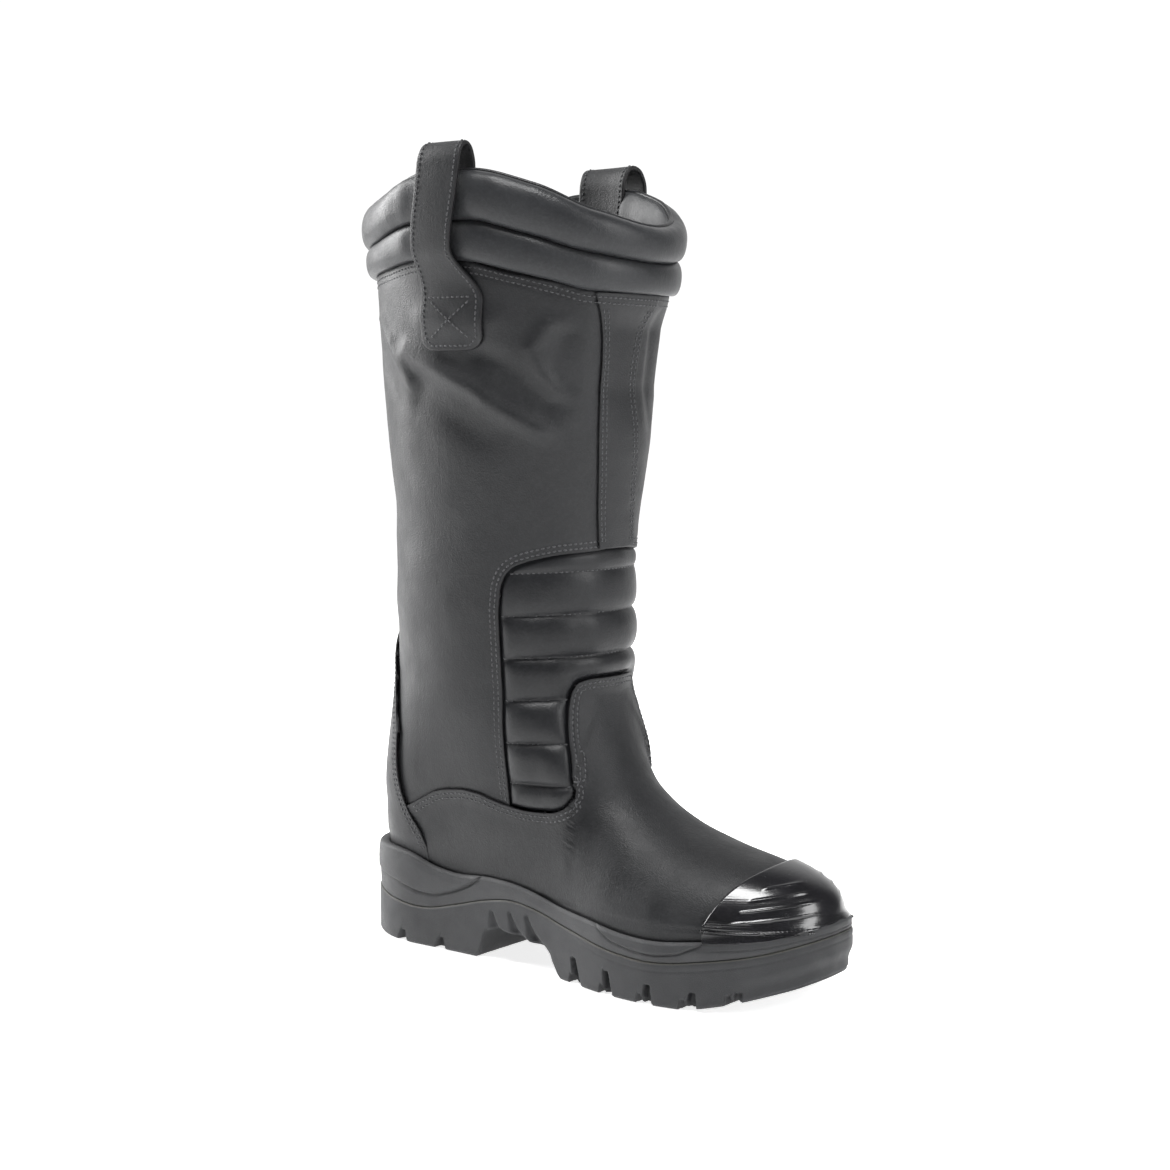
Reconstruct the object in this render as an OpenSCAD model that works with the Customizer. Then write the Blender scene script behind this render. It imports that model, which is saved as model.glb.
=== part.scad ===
// Fire boot, right foot: a tall pull-on leather boot with a padded collar, a quilted ankle,
// a steel toe cap, a moulded scuff cap and a lugged sole.
// Millimetres. +X is the toe, +Y the inner side, +Z up. The origin is on the ground under the
// middle of the sole. Profiles are written with x measured from the back of the sole.

/* [Sole] */
// Border of the sole outside the upper, along the sides
lip_side = 4.5; // [3.5:0.5:6]
// Border of the sole behind the heel
lip_heel = 9.5; // [8:0.5:11]
// Border of the sole in front of the toe
lip_toe = 8; // [6.5:0.5:10]
// Clearance between the upper and the cup that it sits in
cup_gap = 1.8; // [1.4:0.1:2.2]
// Thickness of the midsole under the insole board
web_t = 6; // [4:0.5:7]
// Height of the tread grooves
groove_h = 5; // [3:0.5:7]
// Width of the tread grooves
groove_w = 3.4; // [2:0.2:5]
// Height of the notches in the side of the sole
notch_h = 12.5; // [8:0.5:14]
// Depth of the notches in the side of the sole
notch_d = 5; // [3:0.5:7]

/* [Leather] */
// Thickness of the outer leather
leather_t = 2.2; // [1.6:0.1:2.4]
// Thickness of the linings
lining_t = 2; // [1:0.1:2]
// Thickness of the heel stiffener
counter_t = 1.8; // [1:0.1:1.8]
// Thickness of the scuff cap
bumper_t = 2.5; // [1.5:0.1:3]

/* [Hidden parts] */
// Thickness of the steel toe cap
cap_t = 1.9; // [1.4:0.1:2]
// Rear edge of the steel toe cap, from the back of the sole
cap_x = 252; // [246:1:262]
// Thickness of the puncture plate
plate_t = 0.6; // [0.5:0.1:0.8]
// Thickness of the insole board
board_t = 2; // [1.5:0.1:2]
// Thickness of the footbed
footbed_t = 4.5; // [3:0.5:5]
// Radius of the heel pad
pad_r = 20; // [14:1:22]
// Thickness of the heel pad
pad_t = 5; // [3:0.5:6]
// Width of the steel shank
shank_w = 15; // [10:1:18]
// Thickness of the steel shank
shank_t = 1.6; // [1:0.1:2]

/* [Collar and loops] */
// How far the upper tube stands out
upper_bulge = 10.5; // [7:0.5:12]
// How far the lower tube stands out
lower_bulge = 8; // [5:0.5:9]
// Thickness of the collar leather
collar_t = 1.5; // [1:0.1:2]
// Thickness of the pull straps
strap_t = 2.4; // [1.8:0.1:2.6]
// Height of the top of the pull straps
strap_top = 462; // [456:1:470]

/* [Hidden] */

leather = [0.13, 0.13, 0.14];
dark_rubber = [0.16, 0.16, 0.17];
steel = [0.62, 0.63, 0.65];
lining_grey = [0.25, 0.25, 0.26];
foam_grey = [0.45, 0.45, 0.46];

// Side view of the upper: [height, x] of its back and front, and [height, half width] of the leg
back_line = [[30, 10], [52, 9], [70, 10], [90, 12], [115, 16], [145, 19], [190, 22],
    [240, 21.5], [300, 17.5], [360, 13.5], [440, 9.5]];
front_line = [[30, 304.8], [42, 306], [51, 305], [58, 301], [64, 293], [69, 281], [73, 266],
    [77, 248], [83, 229], [93, 208], [107, 189], [127, 176], [150, 169], [180, 168],
    [220, 169], [250, 171.5], [300, 179.5], [360, 188.5], [440, 195.5]];
leg_line = [[30, 37], [50, 39], [75, 43], [100, 48], [130, 53], [160, 56], [200, 59],
    [260, 62.5], [320, 69], [380, 73], [440, 75]];
// Plan view of the foot: [x, half width] of each side, up to the start of the toe curve
outer_line = [[0, 30], [45, 38.5], [110, 41], [161, 43.5], [200, 52.5], [235, 57]];
inner_line = [[0, 30], [45, 38.5], [110, 37], [150, 38], [190, 42.5], [235, 46]];
toe_start = 228;
toe_end = 306.5;
toe_drift = 9;
foot_base = 30;

// Side view of the sole: [x, height]
ground_line = [[0, 7], [3, 3.2], [10, 0], [101, 0], [106, 17], [118, 19], [148, 15],
    [156, 13], [165, 0], [250, 0], [262, 1.8], [276, 5], [290, 9], [302, 12.5], [314, 17]];
parting_line = [[0, 29], [14, 27], [36, 24], [60, 22.8], [84, 28], [104, 33.5], [125, 37],
    [146, 35], [165, 31], [186, 27.5], [206, 24.5], [235, 23.2], [263, 27], [290, 32],
    [314, 39]];
feather_line = [[0, 55], [20, 56], [51, 54], [65, 49.5], [80, 47], [109, 48], [129, 47],
    [142, 45], [161, 41], [193, 38], [214, 35.5], [237, 35], [257, 37], [289, 40.5],
    [314, 46]];
floor_line = [[0, 38], [60, 37], [110, 34], [160, 29.5], [200, 27], [240, 26.5], [280, 28.5],
    [314, 32]];

// Heights of the seams against the angle from the front, in degrees
rim_line = [[0, 417], [30, 424], [53, 437], [78, 446], [99, 445.5], [120, 437], [150, 431],
    [180, 430]];
groove_seam = [[0, 398], [30, 402], [58, 413], [77, 420], [99, 420], [129, 412], [180, 408]];
collar_seam = [[0, 381], [29, 382], [45, 387], [62, 393], [77, 398], [99, 400], [124, 396],
    [180, 392]];
vamp_seam = [[0, 166], [15, 166], [24, 164.5], [28.5, 159], [30, 150], [30.5, 136],
    [31.5, 124], [36, 112], [41, 105.5], [49, 99], [58, 94], [67, 91.3], [76, 91], [81, 93],
    [86, 95.5], [90, 98], [96, 99], [103, 98], [110, 96], [120, 90], [129.5, 84]];
panel_seam = [[0, 240], [15, 238], [32, 237], [46, 234], [58, 228], [61.5, 221], [63, 209]];
backstay_seam = [[0, 190], [12, 188], [22, 182], [31, 171], [38, 159], [44, 145], [47, 136],
    [49.8, 127]];

// Ankle joint: where the leg leans over the foot, and the room kept for it
ankle_x = 75;
ankle_z = 98;
foot_lining_slope = 0.75;
leg_lining_slope = 1.75;
leg_lining_gap = 0.75;
quarter_relief = 0.23;

side_angles = [31, 34, 38, 43, 49, 55, 61, 67, 74, 81, 86, 90, 96, 103, 110, 120, 129.5];
front_angles = [0, 7.5, 15, 24, 28.5, 30, 30.5, 31.5];
ring_angles = [for (a = [-180:10:170]) a];

// ---- curves ----
function ramp(a, b, t) = let (u = min(1, max(0, (t - a) / (b - a)))) u * u * (3 - 2 * u);
function mix(a, b, t) = a + (b - a) * t;
function secant(p, i) = (p[i + 1][1] - p[i][1]) / (p[i + 1][0] - p[i][0]);
function tangent(p, i) =
    i == 0 ? secant(p, 0)
    : i == len(p) - 1 ? secant(p, i - 1)
    : let (h0 = p[i][0] - p[i - 1][0], h1 = p[i + 1][0] - p[i][0])
        (secant(p, i - 1) * h1 + secant(p, i) * h0) / (h0 + h1);
function span(p, t, i = 0) = i >= len(p) - 2 || t < p[i + 1][0] ? i : span(p, t, i + 1);
// Smooth curve through the points [t, value], flat beyond its ends
function curve(p, t_in) =
    let (t = min(p[len(p) - 1][0], max(p[0][0], t_in)), i = span(p, t),
        h = p[i + 1][0] - p[i][0], u = (t - p[i][0]) / h,
        m0 = tangent(p, i) * h, m1 = tangent(p, i + 1) * h)
    p[i][1] * (2 * u ^ 3 - 3 * u ^ 2 + 1) + m0 * (u ^ 3 - 2 * u ^ 2 + u)
    + p[i + 1][1] * (3 * u ^ 2 - 2 * u ^ 3) + m1 * (u ^ 3 - u ^ 2);
function flip(list) = [for (i = [len(list) - 1:-1:0]) list[i]];

// ---- surface of the upper ----
crown_table = [for (z = [42:1:172]) [-curve(front_line, z), z]];
crown_last = crown_table[len(crown_table) - 1];
function crown(x) = -x > crown_last[0] ? crown_last[1] + (-crown_last[0] - x) * 8
    : lookup(-x, crown_table);
function centre_y(x, z) = toe_drift * ramp(190, 310, x) * (1 - ramp(95, 140, z));
function foot_half(x, outer) =
    let (u = min(1, max(0, (x - toe_start) / (toe_end - toe_start))), n = outer ? 2.3 : 2.15)
    curve(outer ? outer_line : inner_line, min(x, toe_start)) * (1 - u ^ n) ^ (1 / n);
function half_width(x, z, outer) =
    let (w = ramp(95, 170, x) * (1 - ramp(90, 150, z)))
    mix(curve(leg_line, z), foot_half(x, outer), w);
function dome(x, z) = 1 - (max(0, z - foot_base) / (crown(x) - foot_base)) ^ 2.15;
// Point at an angle from the front (negative on the outer side) and a height. The foot has
// upright walls below outline_z.
outline_z = 42;
function skin_x(a, z) = mix(curve(back_line, z), curve(front_line, z), (1 + cos(a)) / 2);
function skin(a, height) =
    let (z = max(height, outline_z), xb = curve(back_line, z), xf = curve(front_line, z),
        x = skin_x(a, z), leg = abs(sin(a)) ^ 0.94, u = min(1, max(0, (xb + 46 - x) / 46)),
        foot = sqrt(max(0, 1 - u ^ 2.2)) * max(0, dome(x, z) - dome(xf, z)) ^ (1 / 2.1),
        y = half_width(x, z, a < 0) * mix(foot, leg, ramp(100, 165, z)))
    [x, centre_y(x, z) + sign(sin(a)) * y, height];
// The same point moved out along the surface's normal
function off(a, z, d) =
    let (u = skin(a + 0.4, z) - skin(a - 0.4, z), v = skin(a, z + 0.5) - skin(a, z - 0.5),
        n = cross(u, v))
    skin(a, z) + n * (d / norm(n));
// Height at which the surface passes a given x, over the toes
function height_at(a, x, lo = 42, hi = 100, steps = 14) =
    steps == 0 ? (lo + hi) / 2
    : let (m = (lo + hi) / 2)
        skin_x(a, m) > x ? height_at(a, x, m, hi, steps - 1) : height_at(a, x, lo, m, steps - 1);

// Angle at height z of a column that is named by its angle at column_z. Columns near the side
// keep their x, so they stand upright in side view.
column_z = 200;
function column(c, z) =
    let (b = abs(c), xb = curve(back_line, z), xf = curve(front_line, z),
        f = (skin_x(b, column_z) - xb) / (xf - xb),
        upright = acos(min(1, max(-1, 2 * f - 1))))
    sign(c) * mix(b, upright, ramp(20, 55, b) * (1 - ramp(80, 120, b)));
// Height at which a column meets the top edge of the vamp
function vamp_edge(c, lo = 80, hi = 172, steps = 14) =
    steps == 0 ? (lo + hi) / 2
    : let (m = (lo + hi) / 2)
        m > lookup(abs(column(c, m)), vamp_seam) ? vamp_edge(c, lo, m, steps - 1)
        : vamp_edge(c, m, hi, steps - 1);

// ---- origin and sole outline ----
sole_mid = (curve(back_line, outline_z) - lip_heel + curve(front_line, outline_z) + lip_toe) / 2;
function at(p) = [p.x - sole_mid, p.y, p.z];
function lip(a) = lip_side + (lip_toe - lip_side) * max(0, cos(a)) ^ 4
    + (lip_heel - lip_side) * max(0, -cos(a)) ^ 4;
function ring_point(a, d) =
    let (t = skin(a + 0.5, outline_z) - skin(a - 0.5, outline_z), c = skin(a, outline_z),
        n = [t.y, -t.x] / norm([t.x, t.y]))
    [c.x + n.x * d, c.y + n.y * d];
function sole_outline() = [for (a = [-180:5:175]) ring_point(a, lip(a))];
function inner_outline(d) = [for (a = [-180:5:175]) ring_point(a, d)];
function edge_y(x, outer) = centre_y(x, 0) + (outer ? -1 : 1) * (foot_half(x, outer) + lip_side);
function layers() = plate_t + board_t;
function wall_base(a) = curve(floor_line, skin_x(a, outline_z)) + layers() + 0.4;

// ---- shells ----
function quad(a, b, c, d) = [[a, b, c], [a, c, d]];
// Closed solid between two surfaces, outer(a, t) and inner(a, t), over angles and rows
module shell(angles, rows, outer, inner, loop = false) {
    n = len(angles);
    m = len(rows);
    last = loop ? n - 1 : n - 2;
    points = [for (side = [outer, inner]) for (t = rows) for (a = angles) at(side(a, t))];
    function id(k, j, i) = (k * m + j) * n + i % n;
    walls = [for (j = [0:m - 2]) for (i = [0:last])
        each concat(
            quad(id(0, j, i), id(0, j + 1, i), id(0, j + 1, i + 1), id(0, j, i + 1)),
            quad(id(1, j, i), id(1, j, i + 1), id(1, j + 1, i + 1), id(1, j + 1, i)))];
    rims = [for (i = [0:last])
        each concat(
            quad(id(0, 0, i), id(0, 0, i + 1), id(1, 0, i + 1), id(1, 0, i)),
            quad(id(0, m - 1, i + 1), id(0, m - 1, i), id(1, m - 1, i), id(1, m - 1, i + 1)))];
    sides = loop ? [] : [for (j = [0:m - 2])
        each concat(
            quad(id(0, j + 1, 0), id(0, j, 0), id(1, j, 0), id(1, j + 1, 0)),
            quad(id(0, j, n - 1), id(0, j + 1, n - 1), id(1, j + 1, n - 1), id(1, j, n - 1)))];
    polyhedron(points = points, faces = concat(walls, rims, sides), convexity = 8);
}
// Sheet that follows the upper from height low(a) to high(a), between depths d0 and d1
module sheet(angles, rows, low, high, d0, d1, loop = false) {
    shell(angles, rows,
        function (a, t) off(a, mix(low(a), high(a), t), d1),
        function (a, t) off(a, mix(low(a), high(a), t), d0), loop);
}
function both_sides(angles) =
    concat([for (i = [len(angles) - 1:-1:0]) -angles[i]],
        [for (a = angles) if (a > 0) a]);

// ---- prisms of the sole ----
module plan(outline) {
    translate([-sole_mid, 0, -5]) linear_extrude(90) polygon(outline);
}
// Slab between two side-view lines, given as functions of x
function side_band(low, high) =
    concat([for (x = [-6:12:318]) [x, low(x)]], [for (x = [318:-12:-6]) [x, high(x)]]);
module side(points) {
    translate([-sole_mid, 0, 0]) rotate([90, 0, 0]) translate([0, 0, -90])
        linear_extrude(180) polygon(points);
}
module band(outline, low, high) {
    intersection() {
        plan(outline);
        side(side_band(low, high));
    }
}
floor_at = function (x) curve(floor_line, x);
web_at = function (x) curve(floor_line, x) - web_t;
parting_at = function (x) curve(parting_line, x);
feather_at = function (x) curve(feather_line, x);
high_up = function (x) 80;

// ---- sole ----
heel_grooves = [40, 71];
fore_grooves = [181, 206, 231, 256, 279];
module tread_groove(x) {
    translate([x - sole_mid, 0, groove_h / 2 + (x > 250 ? (x - 250) * 0.2 : 0) - 1])
        rotate([0, 0, x < 120 ? 4 : -5]) cube([groove_w, 150, groove_h + 2], center = true);
}
module side_notch(x, outer) {
    y = edge_y(x, outer) + (outer ? -1 : 1) * (10 - notch_d);
    translate([x - sole_mid, y, notch_h / 2 - 1])
        rotate([0, outer ? -8 : 8, 0]) cube([groove_w + 0.6, 20, notch_h + 2], center = true);
}
module outsole() {
    color(dark_rubber) difference() {
        intersection() {
            plan(sole_outline());
            side(concat([[-6, 7]], ground_line, [[318, 17]],
                [for (x = [318:-12:-6]) [x, parting_at(x)]]));
        }
        band(inner_outline(cup_gap), web_at, high_up);
        for (x = concat(heel_grooves, fore_grooves)) tread_groove(x);
        for (x = fore_grooves) if (x < 270) {
            side_notch(x, true);
            side_notch(x, false);
        }
    }
}
module midsole() {
    color(dark_rubber) difference() {
        union() {
            difference() {
                band(sole_outline(), parting_at, feather_at);
                band(inner_outline(cup_gap), web_at, high_up);
            }
            band(inner_outline(cup_gap), web_at, floor_at);
        }
        shank_body();
        pad_body();
    }
}
module shank_body() {
    intersection() {
        translate([112 - sole_mid, 0, -5]) linear_extrude(90)
            square([92, shank_w], center = true);
        side(side_band(function (x) floor_at(x) - shank_t, function (x) floor_at(x)));
    }
}
module steel_shank() {
    color(steel) shank_body();
}
module pad_body() {
    pad_x = 38;
    translate([pad_x - sole_mid, 0, floor_at(pad_x + pad_r) - pad_t])
        cylinder(r = pad_r, h = pad_t, $fn = 64);
}
module heel_pad() {
    color(foam_grey) pad_body();
}
module puncture_plate() {
    color(steel) band(inner_outline(-2), floor_at, function (x) floor_at(x) + plate_t);
}
module insole_board() {
    color("tan") band(inner_outline(-1), function (x) floor_at(x) + plate_t,
        function (x) floor_at(x) + layers());
}
module footbed() {
    color(foam_grey) band(inner_outline(-13), function (x) floor_at(x) + layers(),
        function (x) floor_at(x) + layers() + footbed_t);
}

// ---- toe ----
toe_rows = [0, 0.16, 0.32, 0.48, 0.62, 0.75, 0.87, 1];
cap_angles = both_sides([0, 7.5, 15, 22.5, 30, 37, 43, 48.5]);
// Rear edge of the scuff cap in side view: [height, x]
bumper_edge = [[36, 257], [44, 259], [51, 261.5], [59, 265.5], [66, 271], [72, 279], [78, 284]];
function bumper_top(a, lo = 38, hi = 90, steps = 14) =
    steps == 0 ? (lo + hi) / 2
    : let (m = (lo + hi) / 2)
        skin_x(a, m) > curve(bumper_edge, m) ? bumper_top(a, m, hi, steps - 1)
        : bumper_top(a, lo, m, steps - 1);
module toe_bumper() {
    color([0.06, 0.06, 0.07]) sheet(both_sides([0, 6, 12, 18, 24, 30, 36, 42, 46]), toe_rows,
        function (a) feather_at(skin_x(a, outline_z)) + 0.4, function (a) bumper_top(a),
        0.9, 0.9 + bumper_t);
}
module toe_cap() {
    color(steel) sheet(cap_angles, toe_rows, function (a) wall_base(a),
        function (a) height_at(a, cap_x), -2.6 - cap_t, -2.6);
}
module toe_cap_strip() {
    color(foam_grey) sheet(both_sides([0, 7.5, 15, 22.5, 30, 37, 42]), [0, 0.5, 1],
        function (a) height_at(a, cap_x - 0.5), function (a) height_at(a, cap_x - 8),
        -4.3, -2.8);
}

// ---- foot ----
// Rows up to 1 are level with each other, and rows from 1 to 2 rise to the seam
vamp_rows = [0, 0.2, 0.38, 0.52, 0.64, 0.75, 0.87, 1, 1.15, 1.32, 1.5, 1.75, 2];
module vamp() {
    middle = function (a) min(86, lookup(abs(a), vamp_seam) - 4);
    height = function (a, t) t < 1 ? mix(wall_base(a), middle(a), t)
        : mix(middle(a), lookup(abs(a), vamp_seam), t - 1);
    color(leather) shell(both_sides(concat(front_angles, side_angles)), vamp_rows,
        function (a, t) off(a, height(a, t), 0.4),
        function (a, t) off(a, height(a, t), 0.4 - leather_t));
}
module backstay() {
    clear = 0.9;
    depth = function (z) mix(0.4, clear + leather_t, ramp(76, 98, z));
    height = function (a, t) mix(wall_base(a), lookup(180 - a, backstay_seam), t);
    spread = [-49.8, -47, -44, -38, -31, -22, -12, 0, 12, 22, 31, 38, 44, 47, 49.8];
    fold = function (s) s < 0 ? -s : s;
    color(leather) shell([for (s = spread) 180 + s], [0, 0.12, 0.24, 0.33, 0.42, 0.55, 0.7, 0.85, 1],
        function (a, t) let (z = height(180 - fold(a - 180), t)) off(a, z, depth(z)),
        function (a, t) let (z = height(180 - fold(a - 180), t)) off(a, z, depth(z) - leather_t));
}
module heel_counter() {
    color("dimgray") sheet([for (a = [104:8:256]) a], [0, 0.33, 0.66, 1],
        function (a) wall_base(a),
        function (a) mix(89, 66, ramp(52, 76, abs(a - 180))), -2.6 - counter_t, -2.6);
}
function foot_lining_top(a) =
    ankle_z + foot_lining_slope * max(0, skin_x(a, 130) - ankle_x);
function leg_lining_base(a) =
    min(238, ankle_z + leg_lining_gap + leg_lining_slope * max(0, skin_x(a, 150) - ankle_x));
module foot_lining() {
    color(lining_grey) sheet([for (a = [-180:7.5:172.5]) a],
        [0, 0.14, 0.26, 0.35, 0.43, 0.52, 0.64, 0.8, 1],
        function (a) wall_base(a), function (a) foot_lining_top(a), -5.8 - lining_t, -5.8, true);
}

// ---- leg ----
leg_rows = [0, 0.07, 0.15, 0.26, 0.38, 0.5, 0.62, 0.75, 0.88, 1];
function quarter_base(c) =
    let (b = abs(c))
    b > 64.2 ? mix(vamp_edge(b) + 1.2 + quarter_relief * max(0, skin_x(column(b, 95), 95) - 68),
        quarter_back, ramp(118, 136, b))
    : lookup(b, panel_seam) + (b > 61.4 ? 3 : 0.8);
quarter_back = 108;
quarter_columns = [179.7, 168, 158, 149, 142, 136, 130.2, 120, 110, 103, 96, 90, 84, 78, 72, 67, 64.5,
    64.1, 61.5, 58, 52, 46, 38, 30, 20, 10, 0.3];
// Sheet over upright columns
module column_sheet(columns, rows, low, high, d0, d1) {
    height = function (c, t) mix(low(c), high(c), t);
    shell(columns, rows,
        function (c, t) off(column(c, height(c, t)), height(c, t), d1),
        function (c, t) off(column(c, height(c, t)), height(c, t), d0));
}
module quarter(columns) {
    color(leather) column_sheet(columns, leg_rows, function (c) quarter_base(c),
        function (c) lookup(abs(c), collar_seam) - 0.8, -leather_t, 0);
}
module quarter_lateral() {
    quarter([for (c = quarter_columns) -c]);
}
module quarter_medial() {
    quarter(flip(quarter_columns));
}
strip_centre = [[240, 0], [275, -5], [310, -8.5], [385, -10]];
strip_half = [[240, 13.5], [300, 12.5], [345, 12], [362, 13.5], [385, 19]];
module front_strip() {
    low = 241.5;
    height = function (t) mix(low, 380, t);
    angle = function (s, t) curve(strip_centre, height(t)) + s * curve(strip_half, height(t));
    color(leather) shell([-1, -0.5, 0, 0.5, 1], [0, 0.15, 0.3, 0.45, 0.6, 0.75, 0.88, 1],
        function (s, t) off(angle(s, t), height(t), 0.5 + leather_t),
        function (s, t) off(angle(s, t), height(t), 0.5));
}
panel_columns = both_sides([0, 7.5, 15, 24, 28.5, 29.5, 30.5, 31.5, 34, 38, 44, 50, 57, 61.5, 63]);
module flex_panel() {
    edge_shift = 1;
    color(leather) column_sheet(panel_columns, [0, 0.2, 0.4, 0.6, 0.8, 1],
        function (c) vamp_edge(max(0, abs(c) - edge_shift)) + 1.8,
        function (c) lookup(abs(c), panel_seam), -2.4, 0.6);
}
module flex_panel_foam() {
    color(foam_grey) sheet(both_sides([0, 10, 20, 30, 40, 50, 58]), [0, 0.33, 0.66, 1],
        function (a) foot_lining_top(a) + 1.5, function (a) leg_lining_base(a) - 1.5, -5.4, -3);
}
module shaft_lining() {
    color(lining_grey) sheet(ring_angles, [0, 0.08, 0.18, 0.3, 0.45, 0.6, 0.8, 1],
        function (a) leg_lining_base(a), function (a) lookup(abs(a), collar_seam) - 6,
        -3 - lining_t, -3, true);
}

// ---- collar ----
collar_base = -1.5;
arc_rows = [-88, -60, -32, 0, 32, 60, 88];
function arc_point(a, phi, low, high, bulge, trim) =
    off(a, (low + high) / 2 + ((high - low) / 2 - trim) * sin(phi), collar_base + bulge * cos(phi));
module collar_tube(low, high, bulge) {
    shell(ring_angles, arc_rows,
        function (a, p) arc_point(a, p, low(a), high(a), bulge, 0.3),
        function (a, p) arc_point(a, p, low(a), high(a), bulge - collar_t, 0.3 + collar_t), true);
}
module collar_foam(low, high, bulge) {
    gap = 0.3;
    shell(ring_angles, [-80, -45, 0, 45, 80],
        function (a, p) arc_point(a, p, low(a), high(a), bulge - collar_t - gap, 2.2),
        function (a, p) arc_point(a, p, low(a), high(a), -0.7, 2.2), true);
}
rim_at = function (a) curve(rim_line, abs(a));
groove_at = function (a) curve(groove_seam, abs(a));
seam_at = function (a) curve(collar_seam, abs(a));
module collar_upper() {
    color(leather) collar_tube(groove_at, rim_at, upper_bulge);
}
module collar_lower() {
    color(leather) collar_tube(seam_at, groove_at, lower_bulge);
}
module collar_foam_upper() {
    color(foam_grey) collar_foam(groove_at, rim_at, upper_bulge);
}
module collar_foam_lower() {
    color(foam_grey) collar_foam(seam_at, groove_at, lower_bulge);
}
module collar_facing() {
    color(leather) sheet(ring_angles, [0, 0.5, 1], function (a) seam_at(a) - 5,
        function (a) rim_at(a) - 0.3, -3 - lining_t, -3, true);
}

// ---- pull straps ----
// Middle of the strap: [distance out from the upper, height]
strap_path = [[1.7, 349.5], [1.7, 368], [1.8, 387], [4.8, 396], [8.8, 404], [10.6, 414],
    [11.2, 430], [10.8, 444], [9.2, strap_top - 8], [5.8, strap_top - 2.8],
    [1.6, strap_top - strap_t / 2], [-2.6, strap_top - 2.8], [-6, strap_top - 8.5],
    [-7, 443], [-7, 426], [-7, 408]];
// Angle of the back and front edges of each strap, [lateral, medial]
strap_back = [97.5, 101];
strap_front = [81.5, 78];
// How far the loops lean forward at the top, in degrees
strap_lean = 4.5;
tab_front = 71;
function strap_turn(i) =
    let (p = strap_path[max(0, i - 1)], q = strap_path[min(len(strap_path) - 1, i + 1)], t = q - p)
    [t.y, -t.x] / norm(t);
function strap_point(a, i, s, depth) =
    let (c = strap_path[i] + strap_turn(i) * depth, corner = i == 0 ? 7 * abs(2 * s - 1) ^ 5 : 0)
    off(a, c.y + corner, c.x);
module pull_strap(side) {
    k = side < 0 ? 0 : 1;
    lean = function (i) strap_lean * ramp(392, 452, strap_path[i].y);
    back = function (i) strap_back[k] - lean(i);
    front = function (i) mix(tab_front, strap_front[k], ramp(378, 402, strap_path[i].y)) - lean(i);
    angle = function (s, i) side < 0 ? -mix(back(i), front(i), s) : mix(front(i), back(i), s);
    color(leather) shell([0, 0.15, 0.38, 0.62, 0.85, 1], [for (i = [0:len(strap_path) - 1]) i],
        function (s, i) strap_point(angle(s, i), i, s, strap_t / 2),
        function (s, i) strap_point(angle(s, i), i, s, -strap_t / 2));
}
module pull_strap_lateral() {
    pull_strap(-1);
}
module pull_strap_medial() {
    pull_strap(1);
}

outsole();
midsole();
toe_bumper();
puncture_plate();
steel_shank();
heel_pad();
insole_board();
footbed();
toe_cap();
toe_cap_strip();
vamp();
backstay();
heel_counter();
foot_lining();
quarter_lateral();
quarter_medial();
front_strip();
flex_panel();
flex_panel_foam();
shaft_lining();
collar_upper();
collar_lower();
collar_foam_upper();
collar_foam_lower();
collar_facing();
pull_strap_lateral();
pull_strap_medial();
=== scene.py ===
import math

import bpy
import numpy as np
from mathutils.kdtree import KDTree
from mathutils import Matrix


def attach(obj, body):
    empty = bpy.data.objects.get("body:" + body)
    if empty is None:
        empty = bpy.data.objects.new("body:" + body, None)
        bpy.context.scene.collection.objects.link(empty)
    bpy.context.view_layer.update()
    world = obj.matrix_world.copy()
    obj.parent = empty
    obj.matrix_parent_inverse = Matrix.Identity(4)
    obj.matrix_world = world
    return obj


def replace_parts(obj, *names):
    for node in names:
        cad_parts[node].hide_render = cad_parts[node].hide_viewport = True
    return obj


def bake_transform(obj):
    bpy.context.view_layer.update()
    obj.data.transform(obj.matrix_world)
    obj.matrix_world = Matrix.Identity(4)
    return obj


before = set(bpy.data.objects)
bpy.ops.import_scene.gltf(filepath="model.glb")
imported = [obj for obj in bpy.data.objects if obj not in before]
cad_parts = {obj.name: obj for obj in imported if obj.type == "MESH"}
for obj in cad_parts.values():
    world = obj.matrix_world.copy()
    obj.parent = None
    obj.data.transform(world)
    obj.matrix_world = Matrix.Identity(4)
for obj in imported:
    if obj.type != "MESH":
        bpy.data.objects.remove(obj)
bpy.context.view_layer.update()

MM = 0.001
rng = np.random.default_rng(11)

# ---------------------------------------------------------------- profiles, in mm, x from the heel
BACK = [[30, 10], [52, 9], [70, 10], [90, 12], [115, 16], [145, 19], [190, 22], [240, 21.5],
        [300, 17.5], [360, 13.5], [440, 9.5]]
FRONT = [[30, 304.8], [42, 306], [51, 305], [58, 301], [64, 293], [69, 281], [73, 266],
         [77, 248], [83, 229], [93, 208], [107, 189], [127, 176], [150, 169], [180, 168],
         [220, 169], [250, 171.5], [300, 179.5], [360, 188.5], [440, 195.5]]
LEG = [[30, 37], [50, 39], [75, 43], [100, 48], [130, 53], [160, 56], [200, 59], [260, 62.5],
       [320, 69], [380, 73], [440, 75]]
OUTER = [[0, 30], [45, 38.5], [110, 41], [161, 43.5], [200, 52.5], [235, 57]]
INNER = [[0, 30], [45, 38.5], [110, 37], [150, 38], [190, 42.5], [235, 46]]
TOE_START, TOE_END, TOE_DRIFT, FOOT_BASE, OUTLINE_Z = 228, 306.5, 9, 30, 42
GROUND = [[0, 7], [3, 3.2], [10, 0], [101, 0], [106, 17], [118, 19], [148, 15], [156, 13],
          [165, 0], [250, 0], [262, 1.8], [276, 5], [290, 9], [302, 12.5], [314, 17]]
PARTING = [[0, 29], [14, 27], [36, 24], [60, 22.8], [84, 28], [104, 33.5], [125, 37], [146, 35],
           [165, 31], [186, 27.5], [206, 24.5], [235, 23.2], [263, 27], [290, 32], [314, 39]]
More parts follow.
